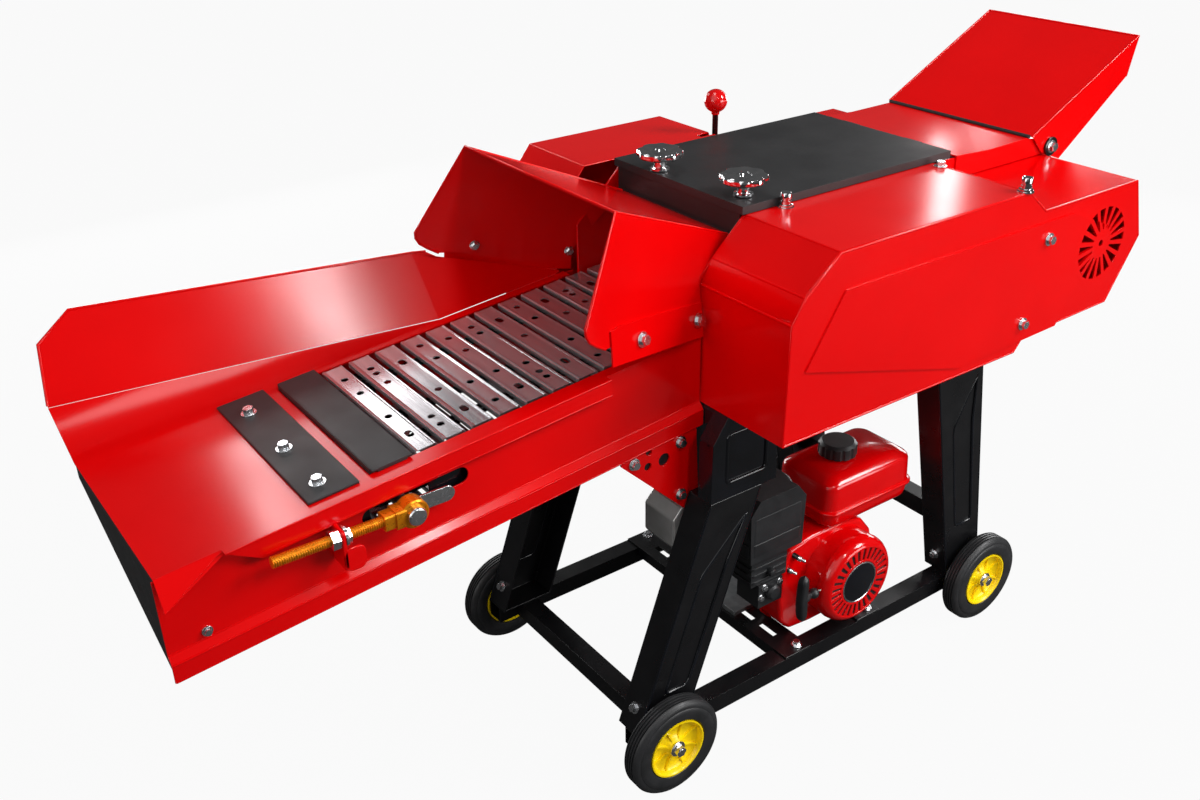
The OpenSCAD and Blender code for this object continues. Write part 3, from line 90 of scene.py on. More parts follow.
def mottled(tree, place, size, low, high):
    """A colour that drifts between two close shades over patches of the given size in millimetres."""
    ramp = add(tree, "ValToRGB", {}, {"Fac": noise(tree, place, size, 3.0)})
    ramp.color_ramp.elements[0].position = 0.3
    ramp.color_ramp.elements[1].position = 0.7
    ramp.color_ramp.elements[0].color = linear(low)
    ramp.color_ramp.elements[1].color = linear(high)
    return ramp.outputs["Color"]


def uneven(tree, place, size, low, high):
    """A number that drifts between two values over patches of the given size in millimetres."""
    span = {"From Min": 0.3, "From Max": 0.7, "To Min": low, "To Max": high}
    return add(tree, "MapRange", span, {"Value": noise(tree, place, size, 4.0)}).outputs["Result"]


def relief(tree, place, size, depth_mm, detail=2.0):
    """The normal of a surface with random relief of the given width and depth in millimetres."""
    bump = {"Strength": 1.0, "Distance": depth_mm * MM}
    return add(tree, "Bump", bump, {"Height": noise(tree, place, size, detail)}).outputs["Normal"]


# Finishes

def finish(name, shades, roughness, grain=None, stretch=None, metallic=0.0, ior=None):
    """A material whose colour and roughness drift over patches, each (size in mm, low, high).

    The grain is a relief of (width in mm, depth in mm, detail), and stretch draws the whole pattern out.
    """
    made, tree, shader, place = start(name)
    if stretch:
        place = add(tree, "Mapping", {"Scale": stretch}, {"Vector": place}).outputs["Vector"]
    tree.links.new(mottled(tree, place, *shades), shader.inputs["Base Color"])
    tree.links.new(uneven(tree, place, *roughness), shader.inputs["Roughness"])
    if grain:
        tree.links.new(relief(tree, place, *grain), shader.inputs["Normal"])
    shader.inputs["Metallic"].default_value = metallic
    if ior:
        shader.inputs["IOR"].default_value = ior
    return made


def braided_rope():
    """Braided polyester starter rope: off white with a dark tracer, fuzzy."""
    made, tree, shader, place = start("braided_rope")
    # A diagonal wave repeats every 0.63 / scale along an axis, so the tracer comes round about every 11 mm
    weave = {"Scale": per_mm(3) / 6, "Distortion": 1.5, "bands_direction": "DIAGONAL"}
    strands = add(tree, "TexWave", weave, {"Vector": place})
    tint = add(tree, "ValToRGB", {}, {"Fac": strands.outputs["Fac"]})
    tint.color_ramp.elements[0].color = linear("#2A2A2C")
    tint.color_ramp.elements[1].color = linear("#CFCBC2")
    tree.links.new(tint.outputs["Color"], shader.inputs["Base Color"])
    tree.links.new(relief(tree, place, 1.0, 0.1), shader.inputs["Normal"])
    shader.inputs["Roughness"].default_value = 0.85
    return made


# Polyester powder coat on sheet steel: even colour, glossy, with a faint orange peel in the highlights.
# The peel is about 2 mm wide; drawn at 4 mm so that it shows at this distance
RED = finish("red_powder_coat", (160, "#DD0002", "#E40103"), (120, 0.15, 0.18), (4, 0.02), ior=1.42)
# Stoved enamel on the engine's pressings: smooth, wet looking, a little deeper than the powder coat
ENAMEL = finish("red_enamel", (60, "#D40104", "#DC0205"), (50, 0.10, 0.14), (14, 0.03), ior=1.5)
# Black powder coat, satin: near black with a fine leathery grain that spreads the highlights.
# The grain is under 1 mm; drawn at 2.5 mm so that it shows
BLACK = finish("black_powder_coat", (70, "#0A0A0C", "#101012"), (40, 0.26, 0.34), (2.5, 0.02), ior=1.5)
# Black textured coat on the loose plates and the lid: matt charcoal with a sandy grain
CHARCOAL = finish("black_textured_coat", (90, "#242425", "#2C2C2D"), (60, 0.40, 0.50), (2.0, 0.06, 4.0),
                  ior=1.5)
# Black gloss paint on deep pressings: dark and wet, with blue-grey window reflections
GLOSS_BLACK = finish("black_gloss_paint", (60, "#0B0C0F", "#12141A"), (50, 0.12, 0.18), (18, 0.08), ior=1.52)
# Bright zinc plate on bolts and pins: silver with a faint blue passivation and soft wear
ZINC = finish("zinc_plate", (6, "#D3D6DA", "#E8E9EA"), (4, 0.18, 0.28), (3, 0.03), metallic=1.0)
# Zinc with yellow chromate: amber metal that drifts toward orange and gold in patches
AMBER = finish("yellow_chromate_plate", (9, "#E07E08", "#F09A16"), (5, 0.24, 0.38), (4, 0.05), metallic=0.7)
# Cold rolled slat steel, dull plated: pale grey, drawn lengthwise by the rolls
SLAT = finish("rolled_slat_steel", (5, "#C6C2C6", "#DEDBDE"), (6, 0.20, 0.27), (4, 0.002),
              stretch=(1.0, 0.04, 1.0), metallic=0.8)
# Polished chrome on the clamping knobs: mirror bright, broken only by faint smears in its polish
CHROME = finish("chrome_plate", (20, "#D5D6D9", "#E6E6E8"), (10, 0.05, 0.11), metallic=1.0)
# Turned shafting and ground rollers: mid grey metal with fine tool rings round the axis
STEEL = finish("turned_steel", (3, "#8E9093", "#A9ABAE"), (2, 0.26, 0.42), (2, 0.02),
               stretch=(0.08, 1.0, 0.08), metallic=1.0)
# Roller chain, blued and oiled: almost black metal with sharp wet glints
CHAIN = finish("oiled_chain_steel", (7, "#26272A", "#3C3D40"), (5, 0.18, 0.40), (2, 0.03), metallic=1.0)
# Sand cast iron, painted grey black: coarse skin, dull
IRON = finish("grey_cast_iron", (12, "#2E2F31", "#414244"), (8, 0.45, 0.62), (2.5, 0.25, 4.0), metallic=0.6)
# Die cast and shot blasted aluminium: light grey with a fine frosted skin
ALUMINIUM = finish("die_cast_aluminium", (14, "#A3A5A7", "#BCBEBF"), (10, 0.38, 0.52), (1.8, 0.12, 4.0),
                   metallic=1.0)
# Nickel plated silencer shell: bright pressed steel with soft dents, faintly straw coloured by heat
SILENCER = finish("plated_silencer_steel", (40, "#E2E0DC", "#F2F2F0"), (20, 0.12, 0.20), (25, 0.08),
                  metallic=0.7)
# Glass filled nylon mouldings: dark charcoal with the mould's spark grain.
# The grain is about 0.5 mm; drawn at 1.6 mm so that it shows
NYLON = finish("moulded_black_nylon", (30, "#18191B", "#212224"), (25, 0.38, 0.50), (1.6, 0.06, 4.0),
               ior=1.53)
# Phenolic mouldings: deep black, hard and polished
BAKELITE = finish("black_bakelite", (30, "#0C0C0D", "#131314"), (20, 0.16, 0.26), (12, 0.03), ior=1.6)
# Polished phenolic lever ball: saturated red with a sharp window highlight
BALL = finish("red_phenolic_ball", (25, "#CF0508", "#DC080B"), (20, 0.07, 0.12), ior=1.6)
# Solid rubber tyre, moulded: grey black, dull, with a dusty bloom and fine mould marks
RUBBER = finish("tyre_rubber", (35, "#1E1F20", "#29292B"), (18, 0.40, 0.52), (2.2, 0.10, 4.0), ior=1.52)
# Wrapped drive belt: soft black rubber with a woven jacket's grain
BELT = finish("belt_rubber", (12, "#131313", "#1E1E1E"), (8, 0.60, 0.75), (1.5, 0.10, 4.0), ior=1.52)
# Moulded polypropylene wheel hub: strong yellow, semi gloss
YELLOW = finish("hub_polypropylene", (40, "#FBD502", "#FFDE06"), (25, 0.26, 0.36), (6, 0.04), ior=1.49)
ROPE = braided_rope()

CORNERS = ("front_right", "front_left", "rear_right", "rear_left")
NODE_FINISH = {
    RED: ["gusset_plates", "housing_right_plate", "housing_left_plate", "housing_tray", "right_cover",
          "left_cover", "discharge_base", "chute", "feed_hood", "trough_floor", "trough_wing", "trough_walls",
          "tensioner_brackets"],
    ENAMEL: ["recoil_housing", "fuel_tank"],
    BLACK: ["right_rail", "left_rail", "cross_bars", "engine_mounts", "roller_carriage", "trough_front_panel",
            *[corner + "_leg" for corner in CORNERS]],
    CHARCOAL: ["lid", "trough_cover_plates"],
    GLOSS_BLACK: ["leg_blocks"],
    ZINC: ["axles", "fasteners"],
    AMBER: ["tensioner_yokes"],
    SLAT: ["conveyor_belt"],
    CHROME: ["lid_knob_right", "lid_knob_left"],
    STEEL: ["conveyor_drive_shaft", "conveyor_tension_shaft", "lower_feed_roller", "upper_feed_roller",
            "cutter_drum", "cutter_blades", "feed_countershaft", "crankshaft"],
    CHAIN: ["feed_chains"],
    IRON: ["bearings", "main_pulley"],
    ALUMINIUM: ["engine_block"],
    SILENCER: ["muffler"],
    NYLON: ["air_cleaner", "recoil_handle", "fuel_cap"],
    BALL: ["gear_lever"],
    RUBBER: [corner + "_tyre" for corner in CORNERS],
    BELT: ["drive_belt"],
    YELLOW: [corner + "_hub" for corner in CORNERS],
}

# Edge radius of each solid in millimetres, where it isn't the usual one
USUAL_EDGE = 1.4
NODE_EDGE = {"leg_blocks": 6.0, "recoil_housing": 1.5, "air_cleaner": 4.0, "muffler": 11.0, "lid": 1.2,
             "right_cover": 3.0, "fuel_cap": 1.5, "trough_cover_plates": 1.5, "engine_block": 1.0,
             "fasteners": 0.6}
# Angle from which an edge is rounded, distance at which points are one, angle up to which faces are one, and
# angle from which the shading of a piece breaks
SHARP_ANGLE = math.radians(32)
SAME_POINT = 0.02 * MM
FLAT_ANGLE = math.radians(1.0)
CREASE_ANGLE = math.radians(38)


def bevel(piece, edge_mm):
    """Rounds a piece's sharp edges."""
    edge = piece.modifiers.new("edge_radius", "BEVEL")
    edge.width = edge_mm * MM
    edge.segments = 2
    edge.limit_method = "ANGLE"
    edge.angle_limit = SHARP_ANGLE
    edge.use_clamp_overlap = True
    shade = piece.modifiers.new("even_shading", "WEIGHTED_NORMAL")
    shade.keep_sharp = False


def soften(piece, edge_mm):
    """Rounds a solid's sharp edges as its making would, without touching its mesh."""
    weld = piece.modifiers.new("joined_facets", "WELD")
    weld.merge_threshold = SAME_POINT
    flat = piece.modifiers.new("whole_faces", "DECIMATE")
    flat.decimate_type = "DISSOLVE"
    flat.angle_limit = FLAT_ANGLE
    bevel(piece, edge_mm)


for coat, names in NODE_FINISH.items():
    for name in names:
        solid = NODES[name]
        solid.data.materials.clear()
        solid.data.materials.append(coat)
        soften(solid, NODE_EDGE.get(name, USUAL_EDGE))


# Shapes of the pieces, in millimetres

UP = (0, 0, 1)
FRONT = (0, -1, 0)


def box_mm(node):
    """Low and high corners of a solid's box."""
    return [[c / MM for c in corner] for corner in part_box(node)]


def centre_mm(node):
    """Middle of a solid's box."""
    return [(low + high) / 2 for low, high in zip(*box_mm(node))]


def full_turn(steps, offset=0.0):
    """Angles that share out a full turn, the first one this share of a step on."""
    return [math.tau * (k + offset) / steps for k in range(steps)]


def skin(shape, rings, closed=False):
    """Joins a row of equal rings of points into one shell, with flat ends unless it closes on itself."""
    rows = [[shape.verts.new(Vector(point) * MM) for point in ring] for ring in rings]
    for near, far in zip(rows, rows[1:] + rows[:1] if closed else rows[1:]):
        for i in range(len(near)):
            j = (i + 1) % len(near)
            shape.faces.new((near[i], near[j], far[j], far[i]))
    if not closed:
        shape.faces.new(rows[0])
        shape.faces.new(rows[-1])


def turned(shape, at, axis, profile, steps=32, lobes=0, closed=False):
    """A shell turned about an axis, from points of (distance along it, radius, depth of the lobes)."""
    along = Vector(axis).normalized()
    side = along.orthogonal().normalized()
    over = along.cross(side)
    rings = []
    for reach, radius, *depth in profile:
        ring = []
        for a in full_turn(steps):
            r = radius * (1 + sum(depth) * math.cos(lobes * a))
            ring.append(Vector(at) + along * reach + (side * math.cos(a) + over * math.sin(a)) * r)
        rings.append(ring)
    skin(shape, rings, closed)


def swept(shape, path, radius, steps=10):
    """A round bar that follows a path of points."""
    points = [Vector(point) for point in path]
    side = (points[1] - points[0]).orthogonal()
    rings = []
    for i, point in enumerate(points):
        ahead = (points[min(i + 1, len(points) - 1)] - points[max(i - 1, 0)]).normalized()
        side = (side - ahead * side.dot(ahead)).normalized()
        over = ahead.cross(side)
        rings.append([point + (side * math.cos(a) + over * math.sin(a)) * radius for a in full_turn(steps)])
    skin(shape, rings)


def prism(shape, outline, start, end):
    """A block whose outline of points is carried from one offset to another."""
    skin(shape, [[Vector(point) + Vector(offset) for point in outline] for offset in (start, end)])


def rounded(x0, x1, y0, y1, radius, z, steps=6):
    """A level rectangle with rounded corners, as a ring of points."""
    ring = []
    for cx, cy, first in ((x1 - radius, y1 - radius, 0), (x0 + radius, y1 - radius, 1),
                          (x0 + radius, y0 + radius, 2), (x1 - radius, y0 + radius, 3)):
        for k in range(steps + 1):
            a = math.pi / 2 * (first + k / steps)
            ring.append((cx + radius * math.cos(a), cy + radius * math.sin(a), z))
    return ring


# Flanged hexagon head, as (reach, radius) for each millimetre across its flats
BOLT_FLANGE = [(0, 0.74), (0.10, 0.74), (0.2, 0.56)]
BOLT_CROWN = [(0.1, 0.57), (0.52, 0.57), (0.6, 0.48)]


def flange_bolt(shape, at, axis, across):
    """A flanged hexagon head: washer face, six flats and a chamfered crown."""
    for section, steps in ((BOLT_FLANGE, 24), (BOLT_CROWN, 6)):
        turned(shape, at, axis, [(across * reach, across * radius) for reach, radius in section], steps)


def placed(name, data):
    """A new object in the scene."""
    made = bpy.data.objects.new(name, data)
    bpy.context.scene.collection.objects.link(made)
    return made


def mesh_of(name, shape, coat):
    """A mesh with one finish, made from a shape."""
    mesh = bpy.data.meshes.new(name)
    shape.to_mesh(mesh)
    shape.free()
    mesh.materials.append(coat)
    return mesh


def piece(name, shape, coat, body="chassis", stands_for=(), edge=0.0):
    """Finishes a shape as a named piece that rides on a body, and stands for the nodes given."""
    bmesh.ops.recalc_face_normals(shape, faces=shape.faces)
    mesh = mesh_of(name, shape, coat)
    mesh.shade_smooth()
    mesh.set_sharp_from_angle(angle=CREASE_ANGLE)
    made = placed(name, mesh)
    if edge:
        bevel(made, edge)
    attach(made, body)
    if stands_for:
        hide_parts(*stands_for)


# Feed trough: its own frame, s along the floor and n square to it

SLOPE = math.radians(5.6)
TROUGH_AT = Vector((-1037.0, 0.0, 767.0))
TROUGH_ALONG = Vector((math.cos(SLOPE), 0.0, math.sin(SLOPE)))
TROUGH_UP = Vector((-math.sin(SLOPE), 0.0, math.cos(SLOPE)))


def in_trough(s, y, n):
    """A point of the trough's frame in the machine's frame."""
    return TROUGH_AT + TROUGH_ALONG * s + TROUGH_UP * n + Vector((0, y, 0))


# Slat conveyor

TENSION_S = 362.0
DRIVE_S = 1390.0
CONVEYOR_N = -56.0
RUN = DRIVE_S - TENSION_S
CHAIN_OUT = 46.0
CHAIN_MID = 41.5
SLATS = 47
# Share of a pitch from the idler to the first slat, so that no corner rises above the floor there
FIRST_SLAT = 0.28
LINKS = 91
SLAT_HALF = 164.0
CHAIN_Y = 105.0
LINK_R = 4.3
LINK_GAUGE = 2
# Outer faces of the two kinds of link, from the chain's middle
OUTER_LINK = 8.6
INNER_LINK = 6.4
ROLLER_R = 4.0
ROLLER_HALF = 4.2


def on_loop(distance, radius):
    """Place and turn on the conveyor's loop, this far along it: (s, n, angle)."""
    half = math.pi * radius
    if distance < RUN:
        return TENSION_S + distance, CONVEYOR_N + radius, 0.0
    if distance < RUN + half:
        a = (distance - RUN) / radius
        return DRIVE_S + radius * math.sin(a), CONVEYOR_N + radius * math.cos(a), -a
    if distance < 2 * RUN + half:
        return DRIVE_S - (distance - RUN - half), CONVEYOR_N - radius, -math.pi
    a = (distance - 2 * RUN - half) / radius
    return TENSION_S - radius * math.sin(a), CONVEYOR_N - radius * math.cos(a), -math.pi - a


def loop_points(points, place):
    """Points given as (forward, across, out) at a place on the loop, in the machine's frame."""
    s, n, turn = place
    for forward, across, out in points:
        yield in_trough(s + forward * math.cos(turn) - out * math.sin(turn), across,
                        n + forward * math.sin(turn) + out * math.cos(turn))


WEB_HALF = 12.4
WEB_N = 10.6
GAUGE = 1.6
# From the foot of the flank over the rolled bead to the web
SLAT_FLANK = [(19.4, 1.6), (19.4, 8.4), (18.6, 10.6), (16.9, 11.8), (14.9, 11.6), (13.4, 10.9),
              (WEB_HALF, WEB_N)]
# Punched holes across four kinds of slat: place and how far each is drawn out into a slot
HOLE_ROWS = (((128, 0), (69, 0), (-43, 0), (-121, 0)), ((115, 0), (56, 0), (-43, 0), (-112, 4)),
             ((118, 0), (96, 0), (56, 0), (-92, 0), (-122, 0)), ((108, 4), (26, 0), (-98, 4)))
HOLE_R = 6.4
HOLE_STEPS = 16


def hole_ring(y, stretch):
    """Round or slotted hole in a web, as points."""
    return [(HOLE_R * math.cos(a), y + math.copysign(stretch, math.sin(a)) + HOLE_R * math.sin(a))
            for a in full_turn(HOLE_STEPS, 0.5)]


def slat_shape(holes):
    """One slat lying flat: a rolled hat section with punched holes in its web."""
    shape = bmesh.new()
    for side in (-1, 1):
        outer = [(side * x, z) for x, z in SLAT_FLANK]
        inner = [(side * (x - GAUGE * 0.8), z - GAUGE) for x, z in SLAT_FLANK]
        section = outer + inner[::-1]
        skin(shape, [[(x, y, z) for x, z in section] for y in (-SLAT_HALF, SLAT_HALF)])
    for z in (WEB_N, WEB_N - GAUGE):
        corners = [(x * WEB_HALF, y * SLAT_HALF) for x, y in ((-1, -1), (1, -1), (1, 1), (-1, 1))]
        loops = [corners] + [hole_ring(*hole) for hole in holes]
        edges = []
        for loop in loops:
            verts = [shape.verts.new(Vector((x, y, z)) * MM) for x, y in loop]
            edges += [shape.edges.new((verts[i], verts[(i + 1) % len(verts)])) for i in range(len(verts))]
        bmesh.ops.triangle_fill(shape, edges=edges, use_beauty=True, normal=UP)
    for hole in holes:
        rows = [[shape.verts.new(Vector((x, y, z)) * MM) for x, y in hole_ring(*hole)]
                for z in (WEB_N, WEB_N - GAUGE)]
        for k in range(HOLE_STEPS):
            shape.faces.new((rows[0][k], rows[0][k - 1], rows[1][k - 1], rows[1][k]))
    bmesh.ops.remove_doubles(shape, verts=shape.verts, dist=0.05 * MM)
    bmesh.ops.recalc_face_normals(shape, faces=shape.faces)
    return shape


def make_slats():
    """All the slats round the loop, in four kinds that take turns."""
    shape = bmesh.new()
    kinds = [slat_shape(holes) for holes in HOLE_ROWS]
    loop = 2 * RUN + math.tau * CHAIN_OUT
    for i in range(SLATS):
        kind = kinds[i % len(kinds)]
        place = on_loop((i + FIRST_SLAT) * loop / SLATS, CHAIN_OUT - 0.6)
        flip = 1 if i % 3 else -1
        spots = loop_points([(v.co.x / MM, flip * v.co.y / MM, v.co.z / MM) for v in kind.verts], place)
        twins = {v: shape.verts.new(spot * MM) for v, spot in zip(kind.verts, spots)}
        for face in kind.faces:
            shape.faces.new([twins[v] for v in face.verts])
    for kind in kinds:
        kind.free()
    piece("conveyor_slats", shape, SLAT, stands_for=("conveyor_belt",))


def make_chains():
    """Two roller chains under the slats: rounded side plates, staggered, and rollers."""
    shape = bmesh.new()
    pitch = (2 * RUN + math.tau * CHAIN_MID) / LINKS
    plate = []
    for end in (1, -1):
        for k in range(7):
            a = math.pi * (k / 6 - 0.5 * end)
            plate.append((end * pitch / 2 + LINK_R * math.cos(a), LINK_R * math.sin(a)))
    roller = [(ROLLER_R * math.cos(a), ROLLER_R * math.sin(a)) for a in full_turn(10)]

    def link_part(outline, place, low, high):
        """A plate or a roller at a place on the loop, from one face to the other."""
        skin(shape, [list(loop_points([(x, y, z) for x, z in outline], place)) for y in (low, high)])

    for centre in (-CHAIN_Y, CHAIN_Y):
        for i in range(LINKS):
            outside = OUTER_LINK if i % 2 else INNER_LINK
            middle = on_loop((i + 0.5) * pitch, CHAIN_MID)
            for low in (centre - outside, centre + outside - LINK_GAUGE):
                link_part(plate, middle, low, low + LINK_GAUGE)
            link_part(roller, on_loop(i * pitch, CHAIN_MID), centre - ROLLER_HALF, centre + ROLLER_HALF)
    piece("conveyor_chains", shape, CHAIN, stands_for=("conveyor_belt",))


PLATE_EDGE_S = 332.0
PLATE_HALF = 169.5


def make_plate_apron():
    """Folded front edge of the cover plate over the idler."""
    shape = bmesh.new()
    fold = [(PLATE_EDGE_S + s, n) for s, n in ((-1.6, 8.2), (-1.6, -1.0), (1.4, -1.0), (1.4, 8.2))]
    skin(shape, [[in_trough(s, y, n) for s, n in fold] for y in (-PLATE_HALF, PLATE_HALF)])
    piece("cover_plate_apron", shape, CHARCOAL, edge=1.2)


# Chain tensioner

SHAFT_X, _, SHAFT_Z = centre_mm("conveyor_tension_shaft")
YOKE_IN = 205.0
YOKE_OUT = 231.0
ROD_Y = 218.0
ROD_R = 9.0
ROD_TIP_X = box_mm("tensioner_yokes")[0][0]
NUT_X = box_mm("tensioner_brackets")[0][0]
LUG_X = NUT_X + 14
LUG_OUT = 233.0
WALL_Y = 190.2
THREAD = 3.5
THREAD_DEPTH = 1.3
STRIP_HALF = 13
# Turned parts of the tensioner, as (reach, radius)
YOKE = YOKE_OUT - YOKE_IN
EYE = [(0, 19), (2, 23), (YOKE - 2, 23), (YOKE, 20.5), (YOKE, 12), (0, 12)]
SHAFT_CAP = [(0, 15), (8.5, 15), (11, 12.8), (11.2, 0.5)]
# Lock nut, washer and adjusting nut: place from the first face, section and sides
ROD_NUTS = ((-0.4, [(0, 13.4), (1.2, 15.4), (13.4, 15.4), (14.4, 13.8)], 6),
            (20.2, [(0, 16.2), (4.4, 16.2)], 32),
            (24.4, [(0, 13.8), (6, 13.8), (6.8, 12.4)], 6))
# Neck from the eye to the rod, narrowing in two steps: from, to and half its width
NECK = ((-31, -14, 15), (-48, -29, 12.5))


def threaded_rod(shape, at, length):
    """A rod along +X with a helical thread."""
    steps = 24
    rows = int(length / THREAD * 6)
    rings = []
    for row in range(rows + 1):
        x = length * row / rows
        ring = []
        for k in range(steps):
            phase = (x / THREAD - k / steps) % 1.0
            r = ROD_R - THREAD_DEPTH * abs(2 * phase - 1)
            a = math.tau * k / steps
            ring.append((at[0] + x, at[1] + r * math.cos(a), at[2] + r * math.sin(a)))
        rings.append(ring)
    skin(shape, rings)


def make_tensioner():
    """Forged eye and threaded rod in yellow chromate, on a zinc slide plate, with its two nuts."""
    forged = bmesh.new()
    plates = bmesh.new()
    nuts = bmesh.new()
    turns = [math.pi * (k / 10 - 0.5) for k in range(11)]
    strip = [(SHAFT_X + 12, 0, SHAFT_Z - STRIP_HALF)]
    strip += [(SHAFT_X + 65 + STRIP_HALF * math.cos(a), 0, SHAFT_Z + STRIP_HALF * math.sin(a)) for a in turns]
    strip += [(SHAFT_X + 12, 0, SHAFT_Z + STRIP_HALF)]
    for side in (-1, 1):
        out = (0, side, 0)
        turned(forged, (SHAFT_X, side * YOKE_IN, SHAFT_Z), out, EYE, 40, closed=True)
        for x0, x1, half in NECK:
            ring = rounded(-half, half, -half, half, 4, 0)
            skin(forged, [[(SHAFT_X + x, side * ROD_Y + y, SHAFT_Z + z) for y, z, _ in ring]
                          for x in (x0, x1)])
        threaded_rod(forged, (ROD_TIP_X, side * ROD_Y, SHAFT_Z), SHAFT_X - 44 - ROD_TIP_X)
        prism(plates, strip, (0, side * YOKE_IN, 0), (0, side * (YOKE_IN + 4), 0))
        turned(plates, (SHAFT_X, side * (YOKE_OUT - 1), SHAFT_Z), out, SHAFT_CAP, 36)
        for x, section, steps in ROD_NUTS:
            turned(nuts, (NUT_X + x, side * ROD_Y, SHAFT_Z), (1, 0, 0), section, steps)
    piece("tensioner_eyes_and_rods", forged, AMBER, "tensioner", ("tensioner_yokes",))
    piece("tensioner_slide_plates", plates, ZINC, "tensioner", ("tensioner_yokes",), 0.8)
    piece("tensioner_nuts", nuts, ZINC, stands_for=("tensioner_brackets",))


def make_tensioner_lugs():
    """Bent lugs on the trough's walls: a leaf across the rod and a rounded ear turned along it."""
    shape = bmesh.new()
    for side in (-1, 1):
        across = rounded(WALL_Y, LUG_OUT, SHAFT_Z - 50, SHAFT_Z + 15, 6, 0)
        prism(shape, [(LUG_X, side * y, z) for y, z, _ in across], (0, 0, 0), (6, 0, 0))
        ear = [(x, 0, z) for x, z, _ in rounded(LUG_X, LUG_X + 33, SHAFT_Z - 53, SHAFT_Z - 14, 11, 0)]
        prism(shape, ear, (0, side * (LUG_OUT - 5), 0), (0, side * LUG_OUT, 0))
    piece("tensioner_lugs", shape, RED, stands_for=("tensioner_brackets",), edge=1.4)


# Painted shade: gloss black channels that darken what is seen through the tensioner's slots
SHADE_CHANNEL_IN = 176.0
SHADE_CHANNEL_OUT = WALL_Y - 3.4
SHADE_CHANNEL_GAUGE = 2
# Ends of each shade channel from the shaft at rest, which leave room for its travel
SHADE_CHANNEL_ENDS = ((-112, -48), (50, 136))


def make_slot_shade_channels():
    """Black channels behind the tensioner's slots, as painted shade: dark sheets that stand for the shadow
    seen through the slots.
    """
    shape = bmesh.new()
    low, high = CONVEYOR_N - 36, CONVEYOR_N + 20
    channel = [(SHADE_CHANNEL_OUT, low), (SHADE_CHANNEL_IN, low), (SHADE_CHANNEL_IN, high), (SHADE_CHANNEL_OUT, high),
               (SHADE_CHANNEL_OUT, high - SHADE_CHANNEL_GAUGE), (SHADE_CHANNEL_IN + SHADE_CHANNEL_GAUGE, high - SHADE_CHANNEL_GAUGE),
               (SHADE_CHANNEL_IN + SHADE_CHANNEL_GAUGE, low + SHADE_CHANNEL_GAUGE), (SHADE_CHANNEL_OUT, low + SHADE_CHANNEL_GAUGE)]
    for side in (-1, 1):
        for ends in SHADE_CHANNEL_ENDS:
            skin(shape, [[in_trough(TENSION_S + s, side * y, n) for y, n in channel] for s in ends])
    piece("slot_shade_channels", shape, GLOSS_BLACK, edge=0.8)


# Wheels

HUB_R = 60.6
TREAD_R = 99.8
GROOVES = (11.0, 17.5, 24.0, 30.5)
# Side of the tyre and section of the hub, as (distance from the wheel's inner face, radius)
TYRE_SIDE = [(9.0, HUB_R), (4.0, 61.4), (1.2, 63.4), (0.4, 68.0), (0.0, 78.0), (0.4, 85.0), (1.8, 86.6),
             (2.0, 91.0), (4.2, 96.0), (7.2, 98.6)]
HUB_SECTION = [(5.0, 8.8), (5.0, 17.0), (13.0, 19.5), (15.0, 25.0), (15.0, 47.0), (11.0, 53.0), (2.4, 55.6),
               (0.6, 57.2), (0.6, 60.2), (9.0, HUB_R), (33.0, HUB_R), (41.4, 60.2), (41.4, 57.4),
               (39.8, 55.8), (31.0, 53.4), (27.0, 48.0), (26.4, 32.0), (28.6, 23.5), (33.5, 18.6),
               (36.6, 16.4), (37.4, 14.6), (37.4, 8.8)]
# Ribs of the hub, as (radius, distance from the wheel's inner face)
OUTER_RIB = [(17.0, 35.0), (24.0, 31.2), (46.0, 30.6), (54.6, 34.0), (54.6, 24.0), (17.0, 24.0)]
INNER_RIB = [(17.0, 7.0), (30.0, 10.0), (54.6, 7.6), (54.6, 17.0), (17.0, 17.0)]
HUB_RIBS = 8
RIB_HALF = 1.6
GROOVE_DEPTH = 3.2
# Section of a groove, as (distance from its middle, share of its depth)
GROOVE = [(-1.8, 0), (-1.2, 1), (1.2, 1), (1.8, 0)]


def wheel_place(corner):
    """A wheel's centre as x and z, the side it stands on, and how far out its two faces lie."""
    low, high = box_mm(corner + "_tyre")
    side = 1 if low[1] > 0 else -1
    inner, outer = sorted((abs(low[1]), abs(high[1])))
    return (low[0] + high[0]) / 2, (low[2] + high[2]) / 2, side, inner, outer


def make_wheel(corner):
    """Solid tyre with four grooves on a dished, ribbed hub."""
    x, z, side, inner, outer = wheel_place(corner)
    at, axis = (x, side * inner, z), (0, side, 0)
    tread = [(middle + y, TREAD_R - GROOVE_DEPTH * share) for middle in GROOVES for y, share in GROOVE]
    far_side = [(outer - inner - y, r) for y, r in TYRE_SIDE[::-1]]
    tyre = bmesh.new()
    turned(tyre, at, axis, TYRE_SIDE + tread + far_side, 96, closed=True)
    piece(corner + "_tyre_rubber", tyre, RUBBER, corner + "_wheel", (corner + "_tyre",))
    hub = bmesh.new()
    turned(hub, at, axis, HUB_SECTION, 72, closed=True)
    for a in full_turn(HUB_RIBS, 0.5):
        across = Vector((-math.sin(a), 0, math.cos(a))) * RIB_HALF
        for rib in (OUTER_RIB, INNER_RIB):
            outline = [(x + r * math.cos(a), side * (inner + y), z + r * math.sin(a)) for r, y in rib]
            prism(hub, outline, -across, across)
    piece(corner + "_hub_moulding", hub, YELLOW, corner + "_wheel", (corner + "_hub",))


LEG_IN = 222.0
LEG_OUT = 262.0
LEG_THROUGH = LEG_OUT - LEG_IN
AXLE_R = 8.2
COLLAR_R = 12
AXLE_WASHER = [(0, 15.5), (2.4, 15.5), (2.8, 15)]


